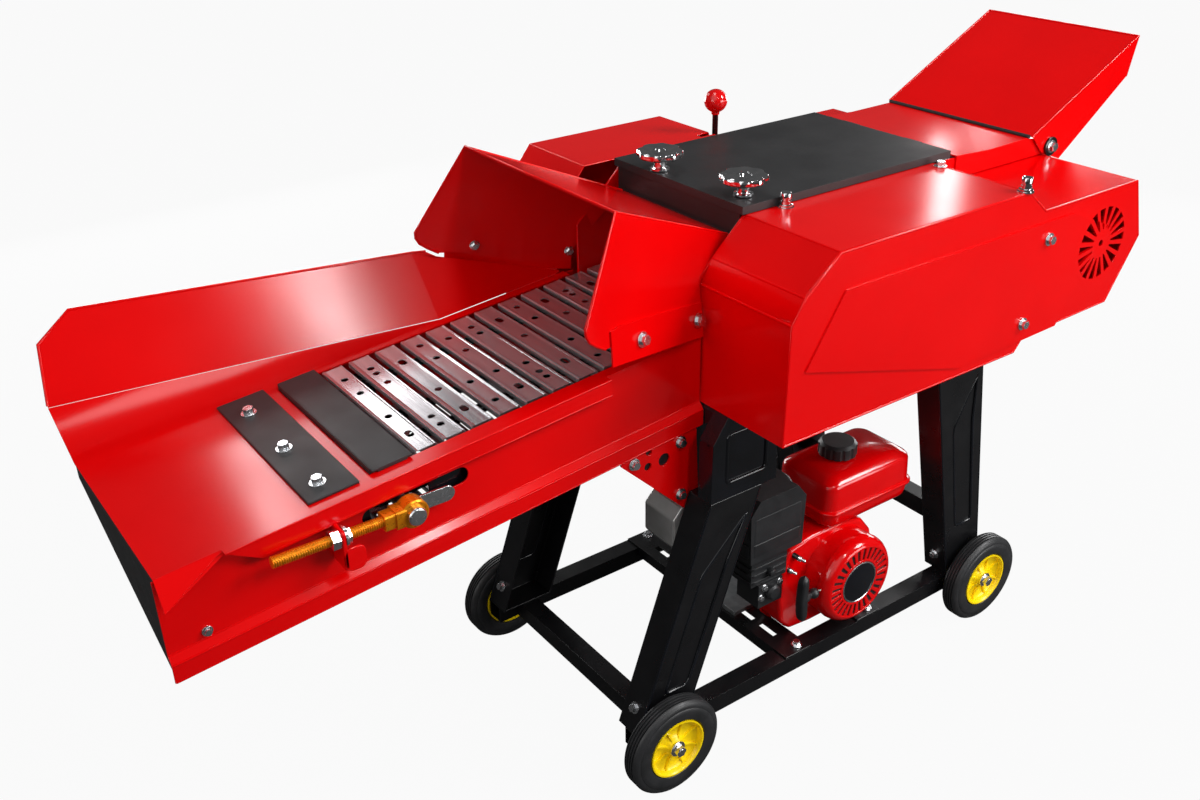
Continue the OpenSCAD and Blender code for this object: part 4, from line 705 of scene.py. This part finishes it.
def make_axles():
    """Stub axle through each leg's foot, with a collar, a washer and a flanged nut."""
    stubs = bmesh.new()
    nuts = bmesh.new()
    for corner in CORNERS:
        x, z, side, _, end = wheel_place(corner)
        out = (0, side, 0)
        profile = [(0, 9), (2, COLLAR_R), (7, COLLAR_R), (8, AXLE_R), (LEG_THROUGH + 0.6, AXLE_R),
                   (LEG_THROUGH + 1, COLLAR_R), (LEG_THROUGH + 3.4, COLLAR_R), (LEG_THROUGH + 3.8, AXLE_R),
                   (end - LEG_IN + 8, AXLE_R), (end - LEG_IN + 10, 6.6)]
        turned(stubs, (x, side * LEG_IN, z), out, profile, 24)
        turned(nuts, (x, side * (end - 4.4), z), out, AXLE_WASHER, 32)
        flange_bolt(nuts, (x, side * (end - 2.2), z), out, 17)
    piece("stub_axles", stubs, ZINC, stands_for=("axles",))
    piece("wheel_nuts", nuts, ZINC)


# Clamping knobs and gear lever

KNOB_HEIGHT = 42
# Mean radius as a share of half the box, since the lobes reach past it
KNOB_MEAN = 0.955
# Section of a knob: (height, radius) of its foot, (height, distance in from the rim, depth of the lobes) of
# its rim, and (height, radius, depth of the lobes) of its crown
KNOB_FOOT = [(0, 15), (2, 17), (5, 17), (6.5, 11.5), (11, 10.5), (17, 11.5), (21, 18)]
KNOB_RIM = [(23.5, 9, 0.02), (25, 2.5, 0.04), (28, 0, 0.045), (34, 0, 0.045), (37, 1.5, 0.05),
            (38.6, 5, 0.055), (38.2, 9, 0.06), (36, 16, 0.10), (34.5, 24, 0.10)]
KNOB_CROWN = [(36, 11, 0.03), (39, 8.5, 0), (41, 5, 0), (41.8, 0.6, 0)]


def make_knob(name):
    """Eight-lobed chrome hand knob on its stud."""
    low, high = box_mm(name)
    x, y, _ = centre_mm(name)
    base = high[2] - KNOB_HEIGHT
    r = (high[0] - low[0]) / 2 * KNOB_MEAN
    rim = [(z, r - inset, depth) for z, inset, depth in KNOB_RIM]
    shape = bmesh.new()
    turned(shape, (x, y, base), UP, KNOB_FOOT + rim + KNOB_CROWN, 96, 8)
    turned(shape, (x, y, low[2]), UP, [(0, 5), (1, 6), (base - low[2] + 1, 6)], 20)
    piece(name + "_chrome", shape, CHROME, name, (name,))


LEVER_BOSS = [(0, 12), (1.5, 15), (14.5, 15), (16, 12), (16, 6.2), (0, 6.2)]


def make_gear_lever():
    """Black stem in a bored boss, with a red ball on top."""
    low, high = box_mm("gear_lever")
    x, y, _ = centre_mm("gear_lever")
    ball_r = (high[0] - low[0]) / 2
    top = high[2] - ball_r
    foot = low[2] + 15
    reach = top - foot
    stem = bmesh.new()
    turned(stem, (x, y, foot), UP, [(0, 5.6), (reach - 26, 5.8), (reach - 24, 7), (reach - 12, 7)], 24)
    turned(stem, (x, y - 8, foot), (0, 1, 0), LEVER_BOSS, 32, closed=True)
    piece("gear_lever_stem", stem, BLACK, "gear_lever", ("gear_lever",))
    ball = bmesh.new()
    collar = [(-ball_r - 4, 7.4), (-ball_r - 3, 8), (-ball_r + 1.2, 8)]
    turns = [math.pi * k / 24 for k in range(3, 24)]
    arc = [(-ball_r * math.cos(a), ball_r * math.sin(a)) for a in turns]
    turned(ball, (x, y, top), UP, [*collar, *arc, (ball_r, 0.4)], 48)
    piece("gear_lever_ball", ball, BALL, "gear_lever", ("gear_lever",))


# Engine

TANK_SEAM = 41.5
TANK_CORNER = 30
# Sides of the tank, as (height over its bottom, how far the side stands in from the flange)
TANK_BOTTOM = [(0, 34), (2, 22), (6, 14), (13, 8.5), (24, 6.5)]
# The same, with heights over the seam
TANK_TOP = [(-4.5, 5.5), (-3.2, 4), (-2.8, 0.8), (-1.5, 0), (1.5, 0), (2.8, 0.8), (3.2, 4), (5, 5.5), (24, 6),
            (52, 7), (58, 8.4), (62, 11.5), (70.5, 24), (73, 28.5), (74.5, 34), (76.5, 48), (78.5, 64),
            (79.6, 78)]
FILLER_NECK = [(0, 34), (6, 31), (8.5, 27), (14, 24), (15.5, 24)]


def make_tank():
    """Fuel tank of two deep pressings, seamed at a flange, with a crowned top and a filler neck."""
    low, high = box_mm("fuel_tank")
    cap_x, cap_y, _ = centre_mm("fuel_cap")
    low[0] -= 6
    high[0] += 14
    seam = low[2] + TANK_SEAM
    sides = [(low[2] + z, d) for z, d in TANK_BOTTOM] + [(seam + z, d) for z, d in TANK_TOP]
    shape = bmesh.new()
    skin(shape, [rounded(low[0] + d, high[0] - d, low[1] + d, high[1] - d,
                         max(TANK_CORNER - d * 0.35, 4), z, 8) for z, d in sides])
    turned(shape, (cap_x, cap_y, seam + 72), UP, FILLER_NECK, 40)
    piece("fuel_tank_pressings", shape, ENAMEL, stands_for=("fuel_tank",))


RECOIL_LOW, RECOIL_HIGH = box_mm("recoil_housing")
RECOIL_FACE = RECOIL_LOW[1]
CRANK_X = RECOIL_HIGH[0] - 105
CRANK_Z = centre_mm("crankshaft")[2]

# Louvres of the starter cover: how many, and (radius, half the width) of their inner and outer ends
LOUVRES = 28
LOUVRE_IN = (51.0, 3.0)
LOUVRE_OUT = (79.0, 4.9)
# Sections of the cover and of what it holds, as (distance in front of the face, radius)
COVER_RIM = [(0.5, 77.0), (3.6, 77.4), (4.4, 79.0), (4.0, 82.0), (1.5, 86.5), (-4.0, 91.0), (-12.0, 95.0),
             (-22.0, 96.4), (-22.0, 90.0), (-2.0, 78.0)]
COVER_EYE = [(0.5, 46.6), (3.6, 46.8), (4.2, 48.0), (4.2, 50.5), (3.6, 52.0), (0.5, 52.0)]
STARTER_DISC = [(1.0, 44), (3.2, 43.5), (3.6, 42), (3.8, 0.5)]
DISC_RING = [(1.5, 43.2), (4.2, 43.2), (4.8, 44.2), (4.2, 46.2), (1.5, 46.6)]
# Painted shade: a dark nylon ring behind the louvres, so the gaps between them read as shadow
STARTER_SLOT_SHADE = [(-2.0, 47), (0.6, 47), (0.8, 52), (0.7, 74), (0.5, 78.5), (-2.0, 78.5)]
# Plain turned pieces: name, section, finish and whether the section closes on itself
STARTER_PIECES = (("starter_disc", STARTER_DISC, GLOSS_BLACK, False),
                  ("starter_disc_ring", DISC_RING, ZINC, True),
                  ("starter_slot_shade", STARTER_SLOT_SHADE, NYLON, True))


def make_recoil_trim():
    """Louvred starter cover over a dark ring of painted shade between its louvres, with a bare black disc in
    a bright ring.
    """
    face = (CRANK_X, RECOIL_FACE, CRANK_Z)
    for name, section, coat, closed in STARTER_PIECES:
        shape = bmesh.new()
        turned(shape, face, FRONT, section, 64, closed=closed)
        piece(name, shape, coat)
    cover = bmesh.new()
    turned(cover, face, FRONT, COVER_RIM, 64, closed=True)
    turned(cover, face, FRONT, COVER_EYE, 64, closed=True)
    corners = [(LOUVRE_IN[0], -LOUVRE_IN[1]), (LOUVRE_OUT[0], -LOUVRE_OUT[1]), LOUVRE_OUT, LOUVRE_IN]
    for turn in full_turn(LOUVRES):
        along = Vector((math.cos(turn), 0, math.sin(turn)))
        across = Vector((-math.sin(turn), 0, math.cos(turn)))
        outline = [Vector((CRANK_X, 0, CRANK_Z)) + along * r + across * w for r, w in corners]
        prism(cover, outline, (0, RECOIL_FACE - 0.4, 0), (0, RECOIL_FACE - 3.8, 0))
    piece("starter_cover_louvres", cover, ENAMEL, edge=0.7)


# Blower housing round the starter, as (x, z) from the crankshaft
BLOWER = [(-152, 66), (-158, -14), (-150, -74), (-124, -102), (-64, -108), (0, -108), (60, -90), (94, -50),
          (106, 6), (96, 56), (66, 94), (6, 108), (-74, 108), (-134, 96)]
BLOWER_BACK = RECOIL_FACE + 140
BLOWER_FRONT = RECOIL_FACE + 62
BLOWER_RIB_Y = BLOWER_BACK - 22
# How far out the rib's middle lies, as a share of the housing
BLOWER_RIB_OUT = 1.01


def make_blower_housing():
    """Deep drawn blower housing behind the starter cover, with a rib pressed round it."""
    shape = bmesh.new()
    outline = [(CRANK_X + x, 0, CRANK_Z + z) for x, z in BLOWER]
    prism(shape, outline, (0, BLOWER_BACK, 0), (0, BLOWER_FRONT, 0))
    piece("blower_housing", shape, ENAMEL, edge=9.0)
    rib = bmesh.new()
    ring = [(CRANK_X + x * BLOWER_RIB_OUT, BLOWER_RIB_Y, CRANK_Z + z * BLOWER_RIB_OUT) for x, z in BLOWER]
    swept(rib, ring + ring[:1], 2.4, 8)
    piece("blower_housing_rib", rib, ENAMEL)


GRIP_NECK = [(0, 11), (12, 10), (18, 6.5), (21, 6), (24, 8.5), (27, 10.5), (33, 10.8), (37, 9), (38, 5)]
ROPE_FROM = 30
ROPE_R = 1.7
STRAND = 0.3
# Distance between the rope's rings, and for one turn of its three strands
ROPE_ROW = 1.5
ROPE_LAY = 9


def make_grip():
    """Bowed starter grip with a ribbed neck, and the rope that runs into the housing."""
    low, high = box_mm("recoil_handle")
    x, y = low[0] + 10, (low[1] + high[1]) / 2
    middle, half = (low[2] + high[2]) / 2, (high[2] - low[2]) / 2
    grip = bmesh.new()
    rings = []
    for k in range(25):
        t = -1 + 2 * k / 24
        size = math.sqrt(max(1 - abs(t) ** 7, 0.02))
        bow = 3.0 * (t * t - 0.4)
        ring = rounded(-9 * size, 9 * size, -10.5 * size, 10.5 * size, 5.5 * size, 0)
        rings.append([(x + bow + p[0], y + p[1], middle + half * t) for p in ring])
    skin(grip, rings)
    turned(grip, (x, y, middle), (1, 0, 0), GRIP_NECK, 32)
    piece("starter_grip", grip, NYLON, "starter_handle", ("recoil_handle",))
    rope = bmesh.new()
    length = high[0] - x - ROPE_FROM
    turns = full_turn(12)
    rings = []
    for row in range(int(length / ROPE_ROW)):
        along = x + ROPE_FROM + row * ROPE_ROW
        lay = row * ROPE_ROW / ROPE_LAY * math.tau
        radii = [ROPE_R + STRAND * math.cos(3 * (a - lay)) for a in turns]
        rings.append([(along, y + r * math.cos(a), middle + r * math.sin(a)) for r, a in zip(radii, turns)])
    skin(rope, rings)
    piece("starter_rope", rope, ROPE, "starter_handle", ("recoil_handle",))


# Cup, seam and lid of the air cleaner's case: height and how far the side stands in
CASE_SIDES = [(0, 7), (3, 2.5), (7, 0.5), (34, 0), (35.5, 2.6), (38, 2.6), (39.5, 0), (89, 0.4), (93, 1.6),
              (114, 21), (120, 27), (125, 36), (128, 50)]
CARBURETTOR_CUP = [(0, 17), (9, 16), (13, 12), (14, 0.5)]
ELBOW_BOSS = [(0, 9), (10, 9), (14, 7), (15, 0.5)]
# Carburettor screws, as (x, z) from the low corner
CARBURETTOR_SCREWS = ((44, 24), (92, 44), (52, 45))


def make_air_cleaner_trim():
    """Ribs and a boss on the air cleaner's elbow, the case over it, and the carburettor's cup and screws."""
    low, high = box_mm("air_cleaner")
    elbow_z = low[2] + 52
    moulded = bmesh.new()
    for k in range(4):
        z = elbow_z + 10 + 16 * k
        band = [(z - 4, 3.0), (z - 2.5, 0.0), (z + 2.5, 0.0), (z + 4, 3.0)]
        skin(moulded, [rounded(low[0] + 19 + d, low[0] + 117 - d, low[1] + 13 + d, low[1] + 84 - d, 12, level)
                       for level, d in band])
    case = elbow_z + 78
    rings = []
    for z, d in CASE_SIDES:
        # The front leans in by the whole depth, and the other sides by less
        edge = min(d, 7 + d * 0.1)
        rings.append(rounded(low[0] - 0.5 + edge, high[0] + 0.5 - edge, low[1] - 1 + d, low[1] + 104 - edge,
                             max(15 - d * 0.2, 6), case + z))
    skin(moulded, rings)
    turned(moulded, (low[0] + 71, low[1] + 10.5, low[2] + 30), FRONT, CARBURETTOR_CUP, 28)
    turned(moulded, (low[0] + 68, low[1] + 16.5, elbow_z + 24), FRONT, ELBOW_BOSS, 20)
    piece("air_cleaner_mouldings", moulded, NYLON, edge=0.5)
    screws = bmesh.new()
    for x, z in CARBURETTOR_SCREWS:
        flange_bolt(screws, (low[0] + x, low[1] + 10, low[2] + z), FRONT, 10)
    piece("carburettor_screws", screws, ZINC)


# Control levers, as (x, z) from the crankshaft and reach, and their bright ends
CONTROLS = ((-120, 78, 26), (-134, 50, 18))
CONTROL_AIM = (0.55, -0.75, -0.35)
CONTROL_END = [(-1, 5.8), (6, 5.8), (8, 3.4), (15, 3.4), (16, 2.4)]
# Screws of the starter cover, in degrees round it
COVER_SCREWS = (38, 100, 158, 262)
COVER_SCREW_R = 88


def make_shroud_trim():
    """Control levers with bright ends beside the starter cover, and its screws."""
    face = RECOIL_FACE + 79
    bright = bmesh.new()
    dark = bmesh.new()
    for from_x, from_z, reach in CONTROLS:
        x, z = CRANK_X + from_x, CRANK_Z + from_z
        bar = [(x - 14, face + 2, z + 10), (x - 6, face - reach * 0.5, z + 6), (x, face - reach, z)]
        swept(dark, bar, 5.5, 12)
        turned(bright, (x, face - reach, z), CONTROL_AIM, CONTROL_END, 16)
    piece("control_levers", dark, BAKELITE)
    for degrees in COVER_SCREWS:
        a = math.radians(degrees)
        at = (CRANK_X + COVER_SCREW_R * math.cos(a), RECOIL_FACE + 40, CRANK_Z + COVER_SCREW_R * math.sin(a))
        flange_bolt(bright, at, (math.cos(a), -0.35, math.sin(a)), 9)
    piece("starter_cover_screws", bright, ZINC)


# Rolled edges of the sheets

# Front edge of the hood's cheek from its foot to its top, as (x, z)
HOOD_FRONT = [(-347, 927), (-366, 939), (-380, 950), (-386, 961), (-387, 972), (-298, 1122)]
# Top front corner of the hood's left cheek, and how it runs inward along and up
CHEEK_AT = (-298, 219.4, 1122)
CHEEK_ALONG = 0.301
CHEEK_UP = 0.1139
# Foot of the wing's sheet: its place at the end of the straight part, and how it spreads from there
WING_Y = 191.8
WING_END = 652
WING_TOE = 0.0352
WING_LEAN = math.tan(math.radians(31))
WING_EDGE = [(1, 72), (24, 153), (85, 185), (652, 109), (676, 104)]
ROLL_R = 2.6


def cheek_y(x, z):
    """Middle of the hood's cheek sheet at a place on it."""
    return CHEEK_AT[1] - CHEEK_ALONG * (x - CHEEK_AT[0]) - CHEEK_UP * (z - CHEEK_AT[2])


def wing_at(s, n):
    """Middle of the wing's sheet at a place on it."""
    return in_trough(s, WING_Y + max(WING_END - s, 0) * WING_TOE + n * WING_LEAN, n)


def make_rolled_edges():
    """Rolled front edge of the hood and rolled top edge of the wing."""
    shape = bmesh.new()
    right = [(x, -cheek_y(x, z), z) for x, z in HOOD_FRONT]
    left = [(x, cheek_y(x, z), z) for x, z in HOOD_FRONT[::-1]]
    swept(shape, right + left, ROLL_R, 12)
    swept(shape, [wing_at(s, n) for s, n in WING_EDGE], ROLL_R, 12)
    piece("rolled_sheet_edges", shape, RED)


# Outer bends of the side cover, as (x, z)
COVER_BENDS = [(-100, 731), (478, 731), (500, 757), (747, 762), (822, 882), (784, 998), (510, 998),
               (456, 1042), (0, 1042), (-70, 983), (-96, 943)]
COVER_SIDE = 394.0
COVER_INSIDE = 179.0
# Bends that run across the cover's top and front
CROSS_BENDS = (6, 7, 8, 9, 10)
CHUTE_SIDE = box_mm("chute")[1][1]
CHUTE_BENDS = [(738, 1044), (1042, 1197), (1022, 1119)]
HOOD_BEND = [(-298, 219.2, 1121.5), (-14, 147.4, 1003.6)]
# Bends of the right wall and of the floor's lip: (from s, to s, y, n)
WALL_BENDS = ((-14, 925, -189.2, -125.4), (-15, 924, -200.0, -137.2), (-17, 922, -199.6, -165.4),
              (98, 741, -203.0, -1.0), (146, 741, -202.6, -28.0))
# Outside radii of the bends
COVER_BEND_R = 2.6
FOLD_R = 2.2
WALL_BEND_R = 1.8


def drawn_in(outline, depth):
    """A closed outline moved inward by a depth, as (x, z) points that run counter-clockwise."""
    points = [Vector(point) for point in outline]
    moved = []
    for i, point in enumerate(points):
        before = (point - points[i - 1]).normalized()
        after = (points[(i + 1) % len(points)] - point).normalized()
        inward = Vector((-before.y - after.y, before.x + after.x)).normalized()
        moved.append(point + inward * (depth / max(inward.dot(Vector((-after.y, after.x))), 0.3)))
    return moved


def make_folded_edges():
    """Outside radii of the press brake's bends, which catch a line of light."""
    fixed = bmesh.new()
    bends = drawn_in(COVER_BENDS, 1.7)
    rim = [(p.x, 1.7 - COVER_SIDE, p.y) for p in bends]
    swept(fixed, rim + rim[:1], COVER_BEND_R, 12)
    inward = (2 - COVER_SIDE, -COVER_INSIDE - 60, -COVER_INSIDE)
    for i in CROSS_BENDS:
        swept(fixed, [(bends[i].x, y, bends[i].y) for y in inward], COVER_BEND_R, 12)
    for side in (-1, 1):
        swept(fixed, [(x, side * y, z) for x, y, z in HOOD_BEND], FOLD_R, 12)
    for s0, s1, y, n in WALL_BENDS:
        swept(fixed, [in_trough(s, y, n) for s in (s0, (s0 + s1) / 2, s1)], WALL_BEND_R, 10)
    piece("folded_sheet_edges", fixed, RED)
    swung = bmesh.new()
    for side in (-1, 1):
        swept(swung, [(x, side * (CHUTE_SIDE - 1.4), z - 1) for x, z in CHUTE_BENDS], FOLD_R, 12)
    end_x, end_z = CHUTE_BENDS[1]
    swept(swung, [(end_x - 1, y, end_z - 1) for y in (1 - CHUTE_SIDE, 0, CHUTE_SIDE - 1)], FOLD_R, 12)
    piece("chute_folds", swung, RED, "chute")


# Bright hardware on the covers

COVER_TOP = box_mm("right_cover")[1][2]
# Posts on the side cover's studs, as (x, y), and their section
POSTS = ((76, -190), (452, -386))
POST_SECTION = [(0, 14.5), (2.2, 14.5), (3, 12.5), (6, 12.5), (7, 9.6), (12, 9.6), (13, 7.8), (15, 7.8),
                (16, 9.8), (24, 9.8), (26.5, 8.6), (27.5, 5.5), (27.8, 0.5)]


def make_posts():
    """Turned chrome posts on the side cover's top, over its studs."""
    shape = bmesh.new()
    for x, y in POSTS:
        turned(shape, (x, y, COVER_TOP + 0.1), UP, POST_SECTION, 32)
    piece("cover_posts", shape, CHROME)


CHUTE_PIVOT_X = 797.0
CHUTE_PIVOT_Z = 1014.0
CHUTE_WASHER = [(0, 19), (3.2, 19), (4.2, 17.6), (4.2, 9)]
SEAL_X = 734.5
SEAL_Z = 1042.4
SEAL_R = 3.6


def make_chute_hardware():
    """Washer and nut on each of the chute's pivots, and the rubber seal under its foot."""
    washers = bmesh.new()
    nuts = bmesh.new()
    for side in (-1, 1):
        out = (0, side, 0)
        turned(washers, (CHUTE_PIVOT_X, side * (CHUTE_SIDE + 0.6), CHUTE_PIVOT_Z), out, CHUTE_WASHER, 40)
        flange_bolt(nuts, (CHUTE_PIVOT_X, side * (CHUTE_SIDE + 4), CHUTE_PIVOT_Z), out, 17)
    piece("chute_washers", washers, BAKELITE)
    piece("chute_nuts", nuts, ZINC)
    seal = bmesh.new()
    swept(seal, [(SEAL_X, y, SEAL_Z) for y in (-180, -60, 60, 180)], SEAL_R, 12)
    piece("chute_seal", seal, BELT)


# Bolts on the inside of the hood's left cheek, as (x, z)
CHEEK_BOLTS = [(-284, 933), (-110, 896)]


def make_cheek_bolts():
    """Bright bolt heads square to the cheek's sheet."""
    shape = bmesh.new()
    for x, z in CHEEK_BOLTS:
        flange_bolt(shape, (x, cheek_y(x, z) - 1.6, z), (-CHEEK_ALONG, -1.0, -CHEEK_UP), 13)
    piece("cheek_bolts", shape, ZINC)


# Strengthening plate of a gusset: from x, to x, from z, to z
BACKING = (-238, -158, 628, 694)


def make_gusset_backing():
    """Black strengthening plate behind the holes of each gusset."""
    inner = box_mm("gusset_plates")[1][1] - 4
    shape = bmesh.new()
    for side in (-1, 1):
        plate = [(x, 0, z) for x, z, _ in rounded(*BACKING, 8, 0)]
        prism(shape, plate, (0, side * (inner - 0.2), 0), (0, side * (inner - 3.2), 0))
    piece("gusset_backing", shape, BLACK, edge=0.6)


BLOCK_BEAD_R = 3.6


def make_block_beads():
    """Pressed bead round the panel of each front leg's block."""
    shape = bmesh.new()
    low, high = box_mm("leg_blocks")
    face = high[1] - 1.2
    panel = rounded(low[0] + 34, low[0] + 126, low[2] + 31, low[2] + 127, 10, 0)
    for side in (-1, 1):
        swept(shape, [(x, side * face, z) for x, z, _ in panel + panel[:1]], BLOCK_BEAD_R, 10)
    piece("leg_block_beads", shape, GLOSS_BLACK)


# Recess in a leg's side, as (share of the way across, share of the way up)
RECESS_FRONT = ((0.3, 0.16), (0.78, 0.16), (0.78, 0.68), (0.88, 0.9), (0.3, 0.68))
RECESS_REAR = ((0.3, 0.2), (0.78, 0.2), (0.78, 0.62), (0.88, 0.8), (0.3, 0.62))
# Kinds of leg: a node, its recess, its widths at the foot and the top, and which way its top leans
LEGS = (("front_right_leg", RECESS_FRONT, (117.0, 117.0), 1),
        ("rear_right_leg", RECESS_REAR, (102.0, 137.0), -1))
LEG_BEAD_R = 3.4
LEG_BEND_R = 2.6
LEG_BEND_IN = 1.8


def eased(outline, radius):
    """A closed outline with each corner rounded by three points."""
    points = [Vector(point) for point in outline]
    path = []
    for i, point in enumerate(points):
        before = point + (points[i - 1] - point).normalized() * radius
        after = point + (points[(i + 1) % len(points)] - point).normalized() * radius
        path += [before, (before + point * 2 + after) / 4, after]
    return path


def make_leg_beads():
    """Pressed bead round the recess in each leg's side, and the radius along the leg's bends."""
    shape = bmesh.new()
    for node, recess, widths, lean in LEGS:
        low, high = box_mm(node)
        foot = low[0] if lean > 0 else high[0] - widths[0]
        top = high[0] - widths[1] if lean > 0 else low[0]
        face = -low[1]

        def at(u, v):
            """A place on the leg's side, by its shares across and up, as (x, z)."""
            across_low, across_high = foot + u * widths[0], top + u * widths[1]
            return across_low + v * (across_high - across_low), low[2] + v * (high[2] - low[2])

        bead = eased([at(u, v) for u, v in recess], 12)
        for side in (-1, 1):
            swept(shape, [(p.x, side * (face - 1.4), p.y) for p in bead + bead[:1]], LEG_BEAD_R, 10)
            for u, inward in ((0, LEG_BEND_IN), (1, -LEG_BEND_IN)):
                bend = [at(u, v) for v in (0.01, 0.5, 0.99)]
                swept(shape, [(x + inward, side * (face - LEG_BEND_IN), z) for x, z in bend], LEG_BEND_R, 10)
    piece("leg_beads", shape, GLOSS_BLACK)


make_slats()
make_chains()
make_plate_apron()
make_tensioner()
make_tensioner_lugs()
make_slot_shade_channels()
for corner in CORNERS:
    make_wheel(corner)
make_axles()
for name in ("lid_knob_right", "lid_knob_left"):
    make_knob(name)
make_gear_lever()
make_tank()
make_recoil_trim()
make_blower_housing()
make_grip()
make_air_cleaner_trim()
make_shroud_trim()
make_rolled_edges()
make_folded_edges()
make_posts()
make_chute_hardware()
make_cheek_bolts()
make_gusset_backing()
make_block_beads()
make_leg_beads()


# Stage, light and camera

CAMERA_AT = Vector((-1.3105, -1.6065, 1.7177))
CAMERA_HEADING = math.radians(54.805)
CAMERA_PITCH = math.radians(-27.852)
CAMERA_ROLL = math.radians(-1.10)
LENS_MM = 36.654
SENSOR_MM = 36.0


def white_floor():
    """Pale seamless floor: white to the eye, shaded where the machine stands, and dim in reflections."""
    made = bpy.data.materials.new("pale_floor")
    made.use_nodes = True
    tree = made.node_tree
    tree.nodes.clear()
    path = add(tree, "LightPath", {}).outputs
    matt = add(tree, "BsdfDiffuse", {"Color": linear("#4C4C4C")})
    lit = add(tree, "Emission", {"Color": linear("#FFFFFF"), "Strength": 1.1})
    share = add(tree, "Math", {"operation": "MULTIPLY", 1: 0.86}, {0: path["Is Camera Ray"]})
    both = add(tree, "MixShader", {}, {0: share.outputs[0], 1: matt.outputs[0], 2: lit.outputs[0]})
    add(tree, "OutputMaterial", {}, {"Surface": both.outputs[0]})
    return made


FLOOR_HALF = 20.0


def make_floor():
    """A wide level floor that the camera sees as white."""
    plane = bmesh.new()
    bmesh.ops.create_grid(plane, x_segments=1, y_segments=1, size=FLOOR_HALF)
    floor = placed("floor", mesh_of("floor", plane, white_floor()))


WINDOW_SIDE = Vector((-0.694, -0.324, 0.643))


def make_world():
    """A dim studio with one wide soft window high on the feed side, and plain white past the floor."""
    world = bpy.data.worlds.new("studio")
    bpy.context.scene.world = world
    world.use_nodes = True
    tree = world.node_tree
    back = tree.nodes["Background"]
    way = add(tree, "TexCoord", {}).outputs["Generated"]
    facing = add(tree, "VectorMath", {"operation": "DOT_PRODUCT", 1: WINDOW_SIDE}, {0: way}).outputs["Value"]
    window = add(tree, "MapRange", {"interpolation_type": "SMOOTHSTEP", "From Min": 0.78, "From Max": 0.95,
                                    "To Min": 0.09, "To Max": 1.0}, {"Value": facing}).outputs["Result"]
    path = add(tree, "LightPath", {}).outputs
    seen = add(tree, "Math", {"operation": "MAXIMUM"},
               {0: path["Is Camera Ray"], 1: path["Is Transmission Ray"]})
    level = add(tree, "MapRange", {"To Max": 1.0}, {"Value": seen.outputs[0], "To Min": window})
    back.inputs["Color"].default_value = linear("#FFFFFF")
    tree.links.new(level.outputs["Result"], back.inputs["Strength"])


def softbox(name, at, aim, width, height, power):
    """A rectangular lamp that looks at a point."""
    lamp = bpy.data.lights.new(name, "AREA")
    lamp.shape = "RECTANGLE"
    lamp.size = width
    lamp.size_y = height
    lamp.energy = power
    holder = placed(name, lamp)
    holder.location = at
    holder.rotation_euler = (Vector(aim) - Vector(at)).to_track_quat("-Z", "Y").to_euler()


def make_camera():
    """The photo's camera, as solved from its parallel edges."""
    lens = bpy.data.cameras.new("camera")
    lens.sensor_fit = "HORIZONTAL"
    lens.sensor_width = SENSOR_MM
    lens.lens = LENS_MM
    lens.clip_end = 100
    holder = placed("camera", lens)
    heading = Matrix.Rotation(CAMERA_HEADING - math.pi / 2, 4, "Z")
    pitch = Matrix.Rotation(math.pi / 2 + CAMERA_PITCH, 4, "X")
    roll = Matrix.Rotation(CAMERA_ROLL, 4, "Z")
    holder.matrix_world = Matrix.Translation(CAMERA_AT) @ (heading @ pitch) @ roll
    bpy.context.scene.camera = holder


make_floor()
make_world()
# Narrow strips draw the bands on the wing, the cover and the floor; the panel behind is what the slats mirror
softbox("wing_strip", (-0.12, -1.68, 2.42), (-0.58, 0.26, 0.92), 0.15, 0.70, 12)
softbox("cover_strip", (2.2, 1.16, 1.80), (0.3, -0.3, 1.04), 0.09, 0.60, 1.3)
softbox("floor_strip", (-0.49, 1.72, 2.04), (-0.85, -0.13, 0.79), 0.14, 0.40, 1.6)
softbox("slat_panel", (-0.10, 1.97, 2.07), (-0.6, 0.0, 0.8), 0.45, 0.50, 3.0)
softbox("high_front", (2.5, -2.3, 3.2), (0.1, 0.0, 0.6), 1.3, 1.3, 112)
softbox("low_side", (1.8, -3.2, 1.0), (0.2, 0.0, 0.6), 2.0, 1.4, 58)
softbox("overhead", (-0.4, 0.3, 4.2), (0.0, 0.0, 0.8), 1.6, 1.0, 22)
softbox("feed_end", (-3.4, -0.8, 1.6), (-0.4, 0.0, 0.7), 1.4, 1.4, 15)
# The belt side and the chute's end, which the camera does not see, are lit from low down behind
softbox("belt_side", (0.2, 3.6, 0.9), (0.1, 0.0, 0.65), 2.4, 1.3, 75)
softbox("chute_end", (3.6, 1.0, 1.0), (0.3, 0.0, 0.65), 1.6, 1.3, 42)
make_camera()
bpy.context.scene.view_settings.view_transform = "Standard"
